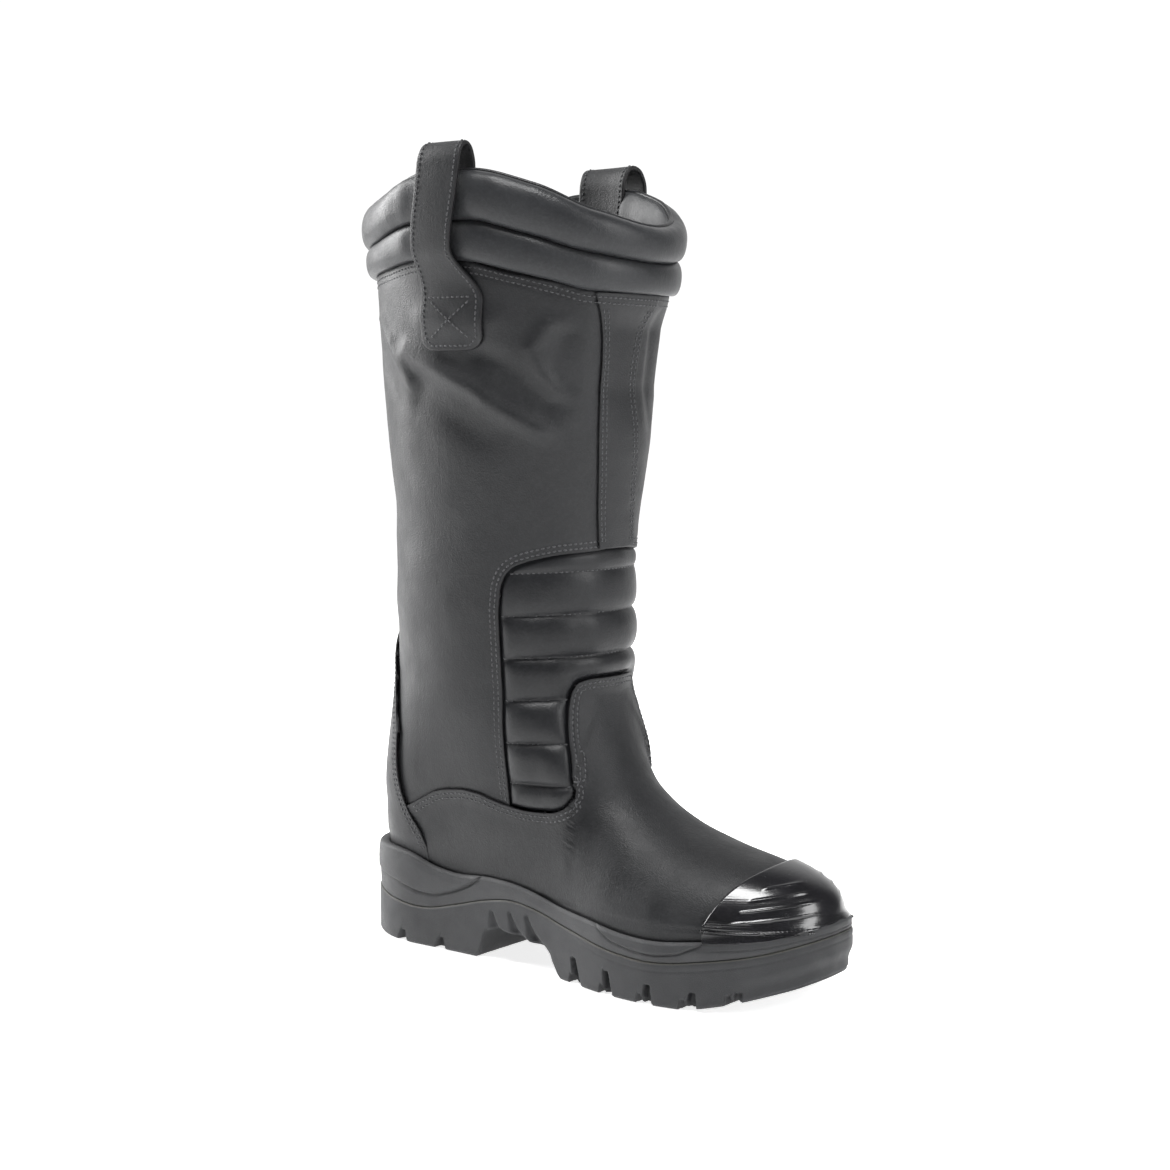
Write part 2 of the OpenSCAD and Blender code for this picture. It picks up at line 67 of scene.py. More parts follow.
FEATHER = [[0, 55], [20, 56], [51, 54], [65, 49.5], [80, 47], [109, 48], [129, 47], [142, 45],
           [161, 41], [193, 38], [214, 35.5], [237, 35], [257, 37], [289, 40.5], [314, 46]]
FLOOR = [[0, 38], [60, 37], [110, 34], [160, 29.5], [200, 27], [240, 26.5], [280, 28.5],
         [314, 32]]
RIM = [[0, 417], [30, 424], [53, 437], [78, 446], [99, 445.5], [120, 437], [150, 431],
       [180, 430]]
GROOVE = [[0, 398], [30, 402], [58, 413], [77, 420], [99, 420], [129, 412], [180, 408]]
COLLAR = [[0, 381], [29, 382], [45, 387], [62, 393], [77, 398], [99, 400], [124, 396],
          [180, 392]]
VAMP = [[0, 166], [15, 166], [24, 164.5], [28.5, 159], [30, 150], [30.5, 136], [31.2, 128],
        [33.1, 120.5], [36.1, 113.5], [40.3, 107.1], [45.4, 101.5], [51.3, 97], [57.8, 93.7],
        [64.8, 91.7], [73, 91.2], [81, 93], [86, 95.5], [90, 98], [96, 99], [103, 98],
        [110, 96], [120, 90], [129.5, 84], [140, 80]]
PANEL = [[0, 240], [15, 238.3], [32, 237], [46, 234], [55, 230.5], [60, 225.5], [62.8, 218],
         [64.2, 205]]
BACKSTAY = [[0, 190], [12, 188], [22, 182], [31, 171], [38, 159], [44, 145], [47, 136],
            [49.8, 127]]
LIP_SIDE, LIP_HEEL, LIP_TOE, CUP_GAP = 4.5, 9.5, 8, 1.8


# ---------------------------------------------------------------- curves
def ramp(a, b, t):
    u = np.clip((t - a) / (b - a), 0, 1)
    return u * u * (3 - 2 * u)


def mix(a, b, t):
    return a + (b - a) * t


def hermite(points, t, slopes):
    p = np.asarray(points, float)
    x, y = p[:, 0], p[:, 1]
    t = np.clip(np.asarray(t, float), x[0], x[-1])
    h = np.diff(x)
    m = slopes(np.diff(y) / h, h)
    i = np.clip(np.searchsorted(x, t, side="right") - 1, 0, len(x) - 2)
    u = (t - x[i]) / h[i]
    return (y[i] * (2 * u**3 - 3 * u**2 + 1) + m[i] * h[i] * (u**3 - 2 * u**2 + u)
            + y[i + 1] * (3 * u**2 - 2 * u**3) + m[i + 1] * h[i] * (u**3 - u**2))


def smooth_slopes(s, h):
    inner = (s[:-1] * h[1:] + s[1:] * h[:-1]) / (h[:-1] + h[1:])
    return np.concatenate([[s[0]], inner, [s[-1]]])


def level_slopes(s, h):
    """Slopes that never overshoot."""
    product = s[:-1] * s[1:]
    inner = np.where(product > 0, 2 * product / np.where(product > 0, s[:-1] + s[1:], 1), 0)
    return np.concatenate([[s[0]], inner, [s[-1]]])


def curve(points, t):
    return hermite(points, t, smooth_slopes)


def seam(points, t):
    """Height of a seam. It is level where it crosses the middle of the front or back."""
    p = np.asarray(points, float)
    p = np.vstack([p[1] * [-1, 1], p])
    if p[-1, 0] == 180:
        p = np.vstack([p, [360 - p[-2, 0], p[-2, 1]]])
    return hermite(p, np.abs(t), level_slopes)


# ---------------------------------------------------------------- surface of the upper
CROWN_Z = np.arange(42, 173)
CROWN_X = curve(FRONT, CROWN_Z)


def crown(x):
    high = np.interp(-x, -CROWN_X, CROWN_Z)
    return np.where(x < CROWN_X[-1], CROWN_Z[-1] + (CROWN_X[-1] - x) * 8, high)


def centre_y(x, z):
    return TOE_DRIFT * ramp(190, 310, x) * (1 - ramp(95, 140, z))


def foot_half(x, outer):
    u = np.clip((x - TOE_START) / (TOE_END - TOE_START), 0, 1)
    n = np.where(outer, 2.3, 2.15)
    side = np.where(outer, curve(OUTER, np.minimum(x, TOE_START)),
                    curve(INNER, np.minimum(x, TOE_START)))
    return side * (1 - u**n) ** (1 / n)


def half_width(x, z, outer):
    w = ramp(95, 170, x) * (1 - ramp(90, 150, z))
    return mix(curve(LEG, z), foot_half(x, outer), w)


def dome(x, z):
    return 1 - (np.maximum(0, z - FOOT_BASE) / (crown(x) - FOOT_BASE)) ** 2.15


def skin_x(a, z):
    return mix(curve(BACK, z), curve(FRONT, z), (1 + np.cos(np.radians(a))) / 2)


def skin(a, height):
    """Point of the upper at an angle from the front, negative on the outer side, and a height."""
    a, height = np.broadcast_arrays(np.asarray(a, float), np.asarray(height, float))
    z = np.maximum(height, OUTLINE_Z)
    xb, xf = curve(BACK, z), curve(FRONT, z)
    x = skin_x(a, z)
    sine = np.sin(np.radians(a))
    u = np.clip((xb + 46 - x) / 46, 0, 1)
    foot = np.sqrt(np.maximum(0, 1 - u**2.2)) * np.maximum(0, dome(x, z) - dome(xf, z)) ** (1 / 2.1)
    y = half_width(x, z, a < 0) * mix(foot, np.abs(sine) ** 0.94, ramp(100, 165, z))
    return np.stack([x, centre_y(x, z) + np.sign(sine) * y, height], -1)


def unit(v):
    return v / np.maximum(np.linalg.norm(v, axis=-1, keepdims=True), 1e-9)


def normal(a, z):
    u = skin(a + 0.4, z) - skin(a - 0.4, z)
    v = skin(a, z + 0.5) - skin(a, z - 0.5)
    return unit(np.cross(u, v))


def off(a, z, d):
    a, z, d = np.broadcast_arrays(np.asarray(a, float), np.asarray(z, float), np.asarray(d, float))
    return skin(a, z) + normal(a, z) * d[..., None]


def column(c, z):
    """Angle at height z of an upright column that is named by its angle at a height of 200."""
    c, z = np.broadcast_arrays(np.asarray(c, float), np.asarray(z, float))
    b = np.abs(c)
    xb, xf = curve(BACK, z), curve(FRONT, z)
    f = (skin_x(b, 200.0) - xb) / (xf - xb)
    upright = np.degrees(np.arccos(np.clip(2 * f - 1, -1, 1)))
    return np.sign(c) * mix(b, upright, ramp(20, 55, b) * (1 - ramp(80, 120, b)))


def vamp_edge(c):
    """Height at which a column meets the top edge of the vamp."""
    lo, hi = np.full(np.shape(c), 80.0), np.full(np.shape(c), 172.0)
    for _ in range(18):
        m = (lo + hi) / 2
        above = m > seam(VAMP, column(c, m))
        hi, lo = np.where(above, m, hi), np.where(above, lo, m)
    return (lo + hi) / 2


SOLE_MID = float(curve(BACK, OUTLINE_Z) - LIP_HEEL + curve(FRONT, OUTLINE_Z) + LIP_TOE) / 2


def place(p):
    """Points in mm from the heel, into the row frame."""
    return (np.asarray(p, float) - [SOLE_MID, 0, 0]) * MM


# ---------------------------------------------------------------- leather folds
def ripple(p, size, seed):
    """Soft irregular waves about size mm long, from -1 to 1."""
    turn = np.random.default_rng(seed)
    total = 0
    for _ in range(7):
        d = unit(turn.normal(size=3))
        total = total + np.sin(p @ d * (2 * np.pi / (size * turn.uniform(0.7, 1.6))) + turn.uniform(0, 6.3))
    return total / 4


# Each fold: its side, its line in side view [x, height], half width and height in mm
FOLDS = [
    (-1, [[45, 369], [56, 356], [66, 344], [75, 333]], 4.8, 2.7),
    (-1, [[42, 350], [50, 336], [58, 322]], 8, -1.6),
    (-1, [[73, 350], [96, 341], [120, 329], [135, 318], [154, 306]], 5.6, 3.4),
    (-1, [[126, 347], [138, 341], [148, 333], [159, 322]], 7.5, -2.9),
    (-1, [[84, 325], [106, 314], [126, 303]], 10, -2.0),
    (-1, [[163, 363], [154, 350], [156, 337], [163, 327]], 4.2, 2.6),
    (-1, [[168, 358], [165, 344], [166, 330]], 5, -2.0),
    (-1, [[88, 370], [112, 364], [136, 366]], 7, 1.2),
    (-1, [[30, 264], [60, 252], [95, 248]], 14, -1.0),
    (-1, [[28, 206], [58, 200], [92, 206]], 12, 0.9),
    (1, [[28, 356], [52, 344], [80, 338], [112, 342]], 6, 2.6),
    (1, [[34, 338], [62, 326], [100, 322]], 9, -1.9),
    (1, [[130, 372], [138, 352], [134, 330]], 6, 1.7),
    (1, [[148, 366], [155, 348], [152, 328]], 9, -2.6),
    (1, [[160, 324], [156, 308], [148, 294]], 8, 1.8),
    (1, [[30, 240], [66, 228], [104, 232]], 13, -0.9),
    (0, [[188, 374], [188, 332]], 18, -5.5),
    (1, [[188, 374], [188, 332]], 26, -4.2),
    (0, [[14, 350], [40, 344]], 9, 1.2),
]


def line_distance(px, pz, line):
    best = np.full(px.shape, 1e9)
    for (x0, z0), (x1, z1) in zip(line[:-1], line[1:]):
        dx, dz = x1 - x0, z1 - z0
        t = np.clip(((px - x0) * dx + (pz - z0) * dz) / (dx * dx + dz * dz), 0, 1)
        best = np.minimum(best, np.hypot(px - x0 - t * dx, pz - z0 - t * dz))
    return best


def relief(a, z):
    """Height of the leather's folds and unevenness, in mm."""
    p = skin(a, z)
    x, y = p[..., 0], p[..., 1]
    height = 0.55 * ripple(p, 95, 3) + 0.22 * ripple(p, 34, 5) + 0.06 * ripple(p, 13, 8)
    for side, line, width, tall in FOLDS:
        near = tall * np.exp(-(line_distance(x, z, line) / width) ** 2)
        near = near * (ramp(12, 26, y * side) if side else ramp(40, 15, np.abs(y)))
        height = height + near
    return height * ramp(118, 170, z) * ramp(1, 22, seam(COLLAR, a) - z)


# ---------------------------------------------------------------- meshes
def add_mesh(name, verts, faces, material, extra=None):
    mesh = bpy.data.meshes.new(name)
    mesh.from_pydata(np.asarray(verts).tolist(), [], faces if isinstance(faces, list) else faces.tolist())
    mesh.polygons.foreach_set("use_smooth", np.ones(len(mesh.polygons), bool))
    for key, values in (extra or {}).items():
        layer = mesh.attributes.new(key, "FLOAT", "POINT")
        layer.data.foreach_set("value", np.asarray(values, np.float32).ravel())
    mesh.materials.append(material)
    mesh.update()
    obj = bpy.data.objects.new(name, mesh)
    bpy.context.scene.collection.objects.link(obj)
    return obj


def grid_faces(rows, cols, loop=False, start=0):
    j, i = np.meshgrid(np.arange(rows - 1), np.arange(cols if loop else cols - 1), indexing="ij")
    k = (i + 1) % cols
    quads = np.stack([j * cols + i, j * cols + k, (j + 1) * cols + k, (j + 1) * cols + i], -1)
    return quads.reshape(-1, 4) + start


def bake(obj):
    """Applies an object's modifiers."""
    graph = bpy.context.evaluated_depsgraph_get()
    mesh = bpy.data.meshes.new_from_object(obj.evaluated_get(graph))
    obj.modifiers.clear()
    obj.data = mesh
    return obj


def thicken(obj, thickness):
    """Closes an outer surface into a sheet of leather of that thickness in mm."""
    m = obj.modifiers.new("thick", "SOLIDIFY")
    m.thickness, m.offset, m.use_even_offset = thickness * MM, -1, False
    return bake(obj)


def weld(obj, gap=0.02):
    m = obj.modifiers.new("weld", "WELD")
    m.merge_threshold = gap * MM
    return bake(obj)


def leather_sheet(name, grids, thickness, material, loop=False):
    """Sheet from outer surfaces [(points, cut)], rows of points that share their common edges."""
    verts, faces, cut, start = [], [], [], 0
    for points, edge in grids:
        rows, cols = points.shape[:2]
        verts.append(place(points.reshape(-1, 3)))
        cut.append(np.broadcast_to(edge, (rows, cols)).ravel())
        faces.append(grid_faces(rows, cols, loop, start))
        start += rows * cols
    obj = add_mesh(name, np.concatenate(verts), np.concatenate(faces), material,
                   {"cut": np.concatenate(cut)})
    if len(grids) > 1:
        weld(obj)
    return thicken(obj, thickness)


def clipped_sheet(name, A, Z, inside, line, depth_at, thickness, material):
    """Sheet from the cells of a grid that lie inside a seam. Its edge is moved onto the seam."""
    rows, cols = A.shape
    cells = grid_faces(rows, cols)
    flat = inside.ravel()
    cells = cells[flat[cells].any(1)]
    used = np.unique(cells)
    a, z = A.ravel().copy(), Z.ravel().copy()
    outer = used[~flat[used]]
    for k, p in zip(outer, skin(a[outer], z[outer])):
        a[k], z[k] = line.path[line.tree.find(p)[1]]
    number = np.full(a.size, -1)
    number[used] = np.arange(len(used))
    a, z = a[used], z[used]
    near = line.distance(skin(a, z))
    obj = add_mesh(name, place(off(a, z, depth_at(a, z, near))), number[cells], material,
                   {"cut": (near < 0.2).astype(float)})
    weld(obj, 0.05)
    thicken(obj, thickness)
    return soften_edges(obj, 0.5)


def soften_edges(obj, width, angle=50):
    m = obj.modifiers.new("bevel", "BEVEL")
    m.width, m.segments, m.limit_method, m.angle_limit = width * MM, 2, "ANGLE", math.radians(angle)
    m.harden_normals = False
    return bake(obj)


def closed_tube(name, rings, material, extra=None):
    """Solid through a list of closed cross sections."""
    rings = np.asarray(rings)
    n, m = rings.shape[:2]
    faces = grid_faces(n, m, True).tolist()
    faces += [list(range(m))[::-1], [(n - 1) * m + i for i in range(m)]]
    return add_mesh(name, place(rings.reshape(-1, 3)), faces, material, extra)


def turn_out(obj):
    """Makes every normal point out of a closed piece."""
    co = np.zeros(len(obj.data.vertices) * 3)
    obj.data.vertices.foreach_get("co", co)
    co = co.reshape(-1, 3)
    obj.data.calc_loop_triangles()
    tri = np.array([t.vertices[:] for t in obj.data.loop_triangles])
    volume = np.einsum("ij,ij->i", co[tri[:, 0]], np.cross(co[tri[:, 1]], co[tri[:, 2]])).sum()
    if volume < 0:
        obj.data.flip_normals()
    return obj


# ---------------------------------------------------------------- seams and stitches
def even(path, step=0.8):
    """The line [angle, height], with points an even step in mm apart."""
    path = np.asarray(path, float)
    p = skin(path[:, 0], path[:, 1])
    s = np.concatenate([[0], np.cumsum(np.linalg.norm(np.diff(p, axis=0), axis=1))])
    t = np.linspace(0, s[-1], max(3, int(s[-1] / step)))
    return np.stack([np.interp(t, s, path[:, 0]), np.interp(t, s, path[:, 1])], -1)


def beside(path, d):
    """The line d mm to the left of another, seen from outside."""
    a, z = path[:, 0], path[:, 1]
    t = unit(np.gradient(skin(a, z), axis=0))
    pa = (skin(a + 0.2, z) - skin(a - 0.2, z)) / 0.4
    pz = (skin(a, z + 0.3) - skin(a, z - 0.3)) / 0.6
    b = np.cross(unit(np.cross(pa, pz)), t) * d
    aa, ab, bb = (pa * pa).sum(-1), (pa * pz).sum(-1), (pz * pz).sum(-1)
    ra, rb = (b * pa).sum(-1), (b * pz).sum(-1)
    det = aa * bb - ab * ab
    return np.stack([a + (ra * bb - rb * ab) / det, z + (aa * rb - ab * ra) / det], -1)


class Line:
    """Distances in mm from a line of points."""

    def __init__(self, points):
        self.tree = KDTree(len(points))
        for i, p in enumerate(points):
            self.tree.insert(p, i)
        self.tree.balance()

    def distance(self, points, limit=14):
        flat = points.reshape(-1, 3)
        found = np.array([self.tree.find(p)[2] for p in flat])
        return np.minimum(found, limit).reshape(points.shape[:-1])


def edge_line(path):
    fine = even(path, 0.35)
    line = Line(skin(fine[:, 0], fine[:, 1]))
    line.path = fine
    return line


STITCH_SIDES, THREAD_SINK = 6, 0.28


def sample(points, s, at):
    """Values at the lengths at, along a line whose points lie at the lengths s."""
    return np.stack([np.interp(at, s, points[:, k]) for k in range(3)], -1)


def stitches(name, runs, pitch=3.1, length=2.35, radius=0.42):
    """Sewn thread. Each run is (points, normals), in mm."""
    verts, faces, start = [], [], 0
    t = np.array([-1, -0.82, -0.4, 0, 0.4, 0.82, 1])
    wide = radius * np.array([0.25, 0.8, 1, 1.05, 1, 0.8, 0.25])
    lift = radius * np.array([-1.2, -0.35, 0.25, 0.4, 0.25, -0.35, -1.2])
    ang = np.arange(STITCH_SIDES) * 2 * np.pi / STITCH_SIDES
    for p, n in runs:
        s = np.concatenate([[0], np.cumsum(np.linalg.norm(np.diff(p, axis=0), axis=1))])
        count = int(s[-1] / pitch)
        if count < 1:
            continue
        at = (np.arange(count) + 0.5) * s[-1] / count
        c = sample(p, s, at)
        d = unit(sample(p, s, at + 0.6) - sample(p, s, at - 0.6))
        nn = unit(sample(n, s, at))
        w = unit(np.cross(nn, d))
        nn = np.cross(d, w)
        skew = rng.normal(0, 0.05, (count, 1))
        d = unit(d + w * skew)
        ring = (c[:, None, None] + d[:, None, None] * (t * length / 2)[None, :, None, None]
                + nn[:, None, None] * (lift[:, None] + wide[:, None] * np.sin(ang))[None, :, :, None]
                + w[:, None, None] * (wide[:, None] * np.cos(ang))[None, :, :, None])
        rows = len(t)
        one = grid_faces(rows, STITCH_SIDES, True)
        caps = [list(range(STITCH_SIDES))[::-1],
                [(rows - 1) * STITCH_SIDES + i for i in range(STITCH_SIDES)]]
        per = rows * STITCH_SIDES
        verts.append(place(ring.reshape(-1, 3)))
        for k in range(count):
            faces += (one + start + k * per).tolist()
            faces += [[start + k * per + i for i in cap] for cap in caps]
        start += count * per
    return add_mesh(name, np.concatenate(verts), faces, THREAD)


def sewn(points, lines, width=0.75, deep=0.3):
    """How far leather is drawn down beside rows of stitches."""
    down = 0
    for line in lines:
        down = np.maximum(down, deep * np.exp(-(line.distance(points, 6) / width) ** 2))
    return down


# ---------------------------------------------------------------- materials
class Nodes:
    """Short way to write a node tree."""

    def __init__(self, name):
        self.mat = bpy.data.materials.new(name)
        self.mat.use_nodes = True
        self.tree = self.mat.node_tree
        self.shader = self.tree.nodes["Principled BSDF"]
        self.coord = self.tree.nodes.new("ShaderNodeTexCoord").outputs["Object"]

    def link(self, a, b):
        self.tree.links.new(a, b)

    def noise(self, scale, detail=4, rough=0.5, stretch=None):
        n = self.tree.nodes.new("ShaderNodeTexNoise")
        n.inputs["Scale"].default_value = scale
        n.inputs["Detail"].default_value = detail
        n.inputs["Roughness"].default_value = rough
        vector = self.coord
        if stretch:
            m = self.tree.nodes.new("ShaderNodeMapping")
            m.inputs["Scale"].default_value = stretch
            self.link(vector, m.inputs["Vector"])
            vector = m.outputs[0]
        self.link(vector, n.inputs["Vector"])
        return n.outputs[0]

    def cells(self, scale, feature="F1"):
        n = self.tree.nodes.new("ShaderNodeTexVoronoi")
        n.feature = feature
        n.inputs["Scale"].default_value = scale
        self.link(self.coord, n.inputs["Vector"])
        return n.outputs["Distance"]

    def attribute(self, name):
        n = self.tree.nodes.new("ShaderNodeAttribute")
        n.attribute_name = name
        return n.outputs["Fac"]

    def spread(self, value, low, high, to_low, to_high):
        n = self.tree.nodes.new("ShaderNodeMapRange")
        for key, v in (("From Min", low), ("From Max", high), ("To Min", to_low), ("To Max", to_high)):
            n.inputs[key].default_value = v
        self.link(value, n.inputs["Value"])
        return n.outputs[0]

    def blend_colour(self, factor, a, b):
        n = self.tree.nodes.new("ShaderNodeMix")
        n.data_type = "RGBA"
        self.link(factor, n.inputs["Factor"])
        for socket, value in ((n.inputs[6], a), (n.inputs[7], b)):
            if isinstance(value, tuple):
                socket.default_value = (*value, 1)
            else:
                self.link(value, socket)
        return n.outputs[2]

    def bump(self, height, depth, before=None):
        n = self.tree.nodes.new("ShaderNodeBump")
        n.inputs["Strength"].default_value = 1
        n.inputs["Distance"].default_value = depth
        self.link(height, n.inputs["Height"])
        if before:
            self.link(before, n.inputs["Normal"])
        return n.outputs[0]

    def finish(self, colour, rough, bump=None, **fixed):
        for socket, value in (("Base Color", colour), ("Roughness", rough), ("Normal", bump)):
            if value is None:
                continue
            if isinstance(value, (int, float)):
                self.shader.inputs[socket].default_value = value
            elif isinstance(value, tuple):
                self.shader.inputs[socket].default_value = (*value, 1)
            else:
                self.link(value, self.shader.inputs[socket])
        for key, value in fixed.items():
            self.shader.inputs[key.replace("_", " ")].default_value = value
        return self.mat


def leather(name, low, high, rough=(0.42, 0.56), grain=1.0):
    n = Nodes(name)
    colour = n.blend_colour(n.spread(n.noise(15, 5, 0.55), 0.3, 0.7, 0, 1), low, high)
    pale = tuple(c * 1.5 for c in high)
    colour = n.blend_colour(n.spread(n.noise(480, 3, 0.6), 0.45, 0.8, 0, 0.4), colour, pale)
    colour = n.blend_colour(n.attribute("cut"), colour, (0.006, 0.006, 0.007))
    bump = n.bump(n.cells(1050), 0.00011 * grain)
    bump = n.bump(n.noise(2600, 3, 0.6), 0.00006 * grain, before=bump)
    bump = n.bump(n.noise(210, 4, 0.6, (1, 1, 0.45)), 0.00022 * grain, before=bump)
    roughness = n.spread(n.noise(60, 4), 0.3, 0.7, *rough)
    return n.finish(colour, roughness, bump, Specular_IOR_Level=0.3)


def rubber(name, base, rough, fine=1.0):
    n = Nodes(name)
    lighter = tuple(c * 1.35 for c in base)
    colour = n.blend_colour(n.spread(n.noise(30, 5), 0.3, 0.7, 0, 1), base, lighter)
    colour = n.blend_colour(n.spread(n.noise(1500, 2), 0.5, 0.85, 0, 0.5), colour,
                            tuple(c * 2 for c in base))
    colour = n.blend_colour(n.attribute("pale"), colour, (0.30, 0.285, 0.22))
    # Darkened where the cut attribute is set: dark cut edges, and painted shade in the midsole's creases,
    # grooves and the inner lip of its top.
    colour = n.blend_colour(n.attribute("cut"), colour, (0.008, 0.008, 0.009))
    bump = n.bump(n.noise(1900, 3, 0.65), 0.00016 * fine)
    bump = n.bump(n.cells(2400), 0.00008 * fine, before=bump)
    return n.finish(colour, n.spread(n.noise(90, 3), 0.3, 0.7, rough - 0.06, rough + 0.06), bump,
                    Specular_IOR_Level=0.4)


def cloth(name, base, pitch, depth=0.00022):
    n = Nodes(name)
    w = n.tree.nodes.new("ShaderNodeTexWave")
    w.bands_direction = "DIAGONAL"
    w.inputs["Scale"].default_value = pitch
    w.inputs["Distortion"].default_value = 1.2
    w.inputs["Detail Scale"].default_value = 3
    n.link(n.coord, w.inputs["Vector"])
    colour = n.blend_colour(w.outputs["Fac"], tuple(c * 0.6 for c in base),
                            tuple(c * 1.3 for c in base))
    bump = n.bump(w.outputs["Fac"], depth)
    bump = n.bump(n.noise(1800, 3), 0.0001, before=bump)
    return n.finish(colour, n.spread(n.noise(300, 2), 0.3, 0.7, 0.85, 0.97), bump, Sheen_Weight=0.25)


def hard(name, base, rough, metallic=0.0, brush=None):
    n = Nodes(name)
    lighter = tuple(min(1, c * 1.3) for c in base)
    colour = n.blend_colour(n.spread(n.noise(40, 4), 0.3, 0.7, 0, 1), base, lighter)
    bump = n.bump(n.noise(900, 3, 0.6, brush), 0.00006)
    return n.finish(colour, n.spread(n.noise(120, 3), 0.3, 0.7, rough * 0.85, rough * 1.15), bump,
                    Metallic=metallic)


def glossy(name):
    n = Nodes(name)
    colour = n.blend_colour(n.spread(n.noise(50, 4), 0.3, 0.7, 0, 1),
                            (0.008, 0.008, 0.009), (0.013, 0.013, 0.015))
    scuffs = n.spread(n.noise(240, 5, 0.7, (0.25, 1, 1)), 0.56, 0.75, 0, 1)
    rough = n.spread(scuffs, 0, 1, 0.2, 0.34)
    bump = n.bump(n.noise(420, 3), 0.00003)
    return n.finish(colour, rough, bump, Coat_Weight=0.25, Coat_Roughness=0.12)


BOOT = leather("boot_leather", (0.0095, 0.0098, 0.0108), (0.017, 0.0175, 0.019))
SOFT = leather("soft_leather", (0.0075, 0.0078, 0.0088), (0.013, 0.0135, 0.015), (0.36, 0.48), 0.7)
# Soft leather painted lighter for the collar rolls: a painted highlight standing in for the top light that
# the rolls catch.
SOFT_PAINTED_LIT = leather("soft_leather_painted_lighter", (0.015, 0.0155, 0.017), (0.025, 0.026, 0.028), (0.34, 0.46), 0.7)
FACING = leather("facing_leather", (0.017, 0.0175, 0.019), (0.028, 0.029, 0.031), (0.42, 0.55), 0.6)
STRAP = leather("strap_leather", (0.011, 0.0113, 0.0122), (0.019, 0.0195, 0.021), (0.44, 0.58))
TREAD = rubber("tread_rubber", (0.015, 0.0155, 0.017), 0.58)
CUP_RUBBER = rubber("midsole_foam", (0.019, 0.0195, 0.021), 0.54)
GLOSS = glossy("gloss_bumper")
THREAD = cloth("thread", (0.05, 0.051, 0.055), 2200, 0.00005)
LINING = cloth("lining", (0.05, 0.05, 0.055), 420)
FELT = cloth("footbed_felt", (0.07, 0.07, 0.078), 300)
FOAM = cloth("foam", (0.32, 0.32, 0.33), 700, 0.0003)
STEEL = hard("steel", (0.55, 0.56, 0.58), 0.32, 1.0, (0.2, 1, 1))
BOARD = cloth("fibre_board", (0.42, 0.34, 0.24), 500, 0.0001)
STIFF = hard("stiffener", (0.16, 0.16, 0.16), 0.6)
for node, material in (("steel_shank", STEEL), ("puncture_plate", STEEL), ("toe_cap", STEEL),
                       ("heel_pad", FOAM), ("toe_cap_strip", FOAM), ("insole_board", BOARD),
                       ("heel_counter", STIFF)):
    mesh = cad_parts[node].data
    mesh.materials.clear()
    mesh.materials.append(material)


def across_ankle(*pieces):
    """Pieces of the upper that reach across the ankle: each one's transform is baked into its mesh."""
    for piece in pieces:
        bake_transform(piece)


def on(body, *pieces):
    for piece in pieces:
        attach(piece, body)


def rounded(dist, radius=0.9):
    """How far a cut edge is rounded down, at a distance from it."""
    u = np.clip(1 - dist / radius, 0, 1)
    return radius * 0.8 * (1 - np.sqrt(np.maximum(0, 1 - u * u)))


def cut_mark(dist, width=0.55):
    return np.clip(1.25 - dist / width, 0, 1)


def graded(low, high, step, *dense):
    """Values from low to high, closer together in each dense (start, end, step)."""
    values = set(np.round(np.arange(low, high + 1e-6, step), 4).tolist() + [high])
    for a, b, s in dense:
        values = {v for v in values if not a < v < b}
        values |= set(np.round(np.arange(a, b + 1e-6, s), 4).tolist())
    return np.array(sorted(v for v in values if low <= v <= high))


def mirrored(angles):
    return np.concatenate([-angles[::-1], angles[angles > 0]])


def wall_base(a):
    return curve(FLOOR, skin_x(a, OUTLINE_Z)) + 3


def ankle_split(a):
    """Height at which the foot's lining ends and the shaft's begins."""
    return 99 + 0.75 * np.maximum(0, skin_x(a, 130) - 75)


# ---------------------------------------------------------------- vamp
vamp_path = [[a, float(seam(VAMP, a))] for a in mirrored(graded(0, 129.5, 0.5, (28, 33, 0.06)))]
vamp_line = edge_line(vamp_path)
vamp_fine = even(vamp_path, 0.5)
vamp_rows = [even(beside(vamp_fine, -d), 0.5) for d in (2.3, 5.0)]
vamp_row_lines = [edge_line(r) for r in vamp_rows]
angles = mirrored(graded(0, 132, 0.8, (20, 50, 0.5)))
edge_z = seam(VAMP, angles)
base = wall_base(angles)
level = np.minimum(82, edge_z - 3)
Z = np.concatenate([base + (level - base) * np.linspace(0, 1, 38)[:, None],
                    level + np.arange(1.2, 88, 1.2)[:, None]])
A = np.broadcast_to(angles, Z.shape)


def vamp_depth(a, z, dist):
    flex = 0.5 * ripple(skin(a, z), 60, 21) * ramp(50, 70, z)
    return 0.4 + 1.1 * (1 - ramp(0, 10, dist)) + relief(a, z) + flex * ramp(0, 12, dist)


def vamp_outer(a, z, near):
    return vamp_depth(a, z, near) - sewn(skin(a, z), vamp_row_lines)


vamp = clipped_sheet("vamp_leather", A, Z, Z < seam(VAMP, A), vamp_line, vamp_outer, 1.7,
                     BOOT)
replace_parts(vamp, "vamp")


def vamp_run(path):
    path = path[np.abs(path[:, 0]) < 127.5]
    a, z = path[:, 0], path[:, 1]
    d = vamp_depth(a, z, vamp_line.distance(skin(a, z))) - THREAD_SINK
    return off(a, z, d), normal(a, z)


vamp_thread = stitches("vamp_stitches", [vamp_run(r) for r in vamp_rows])

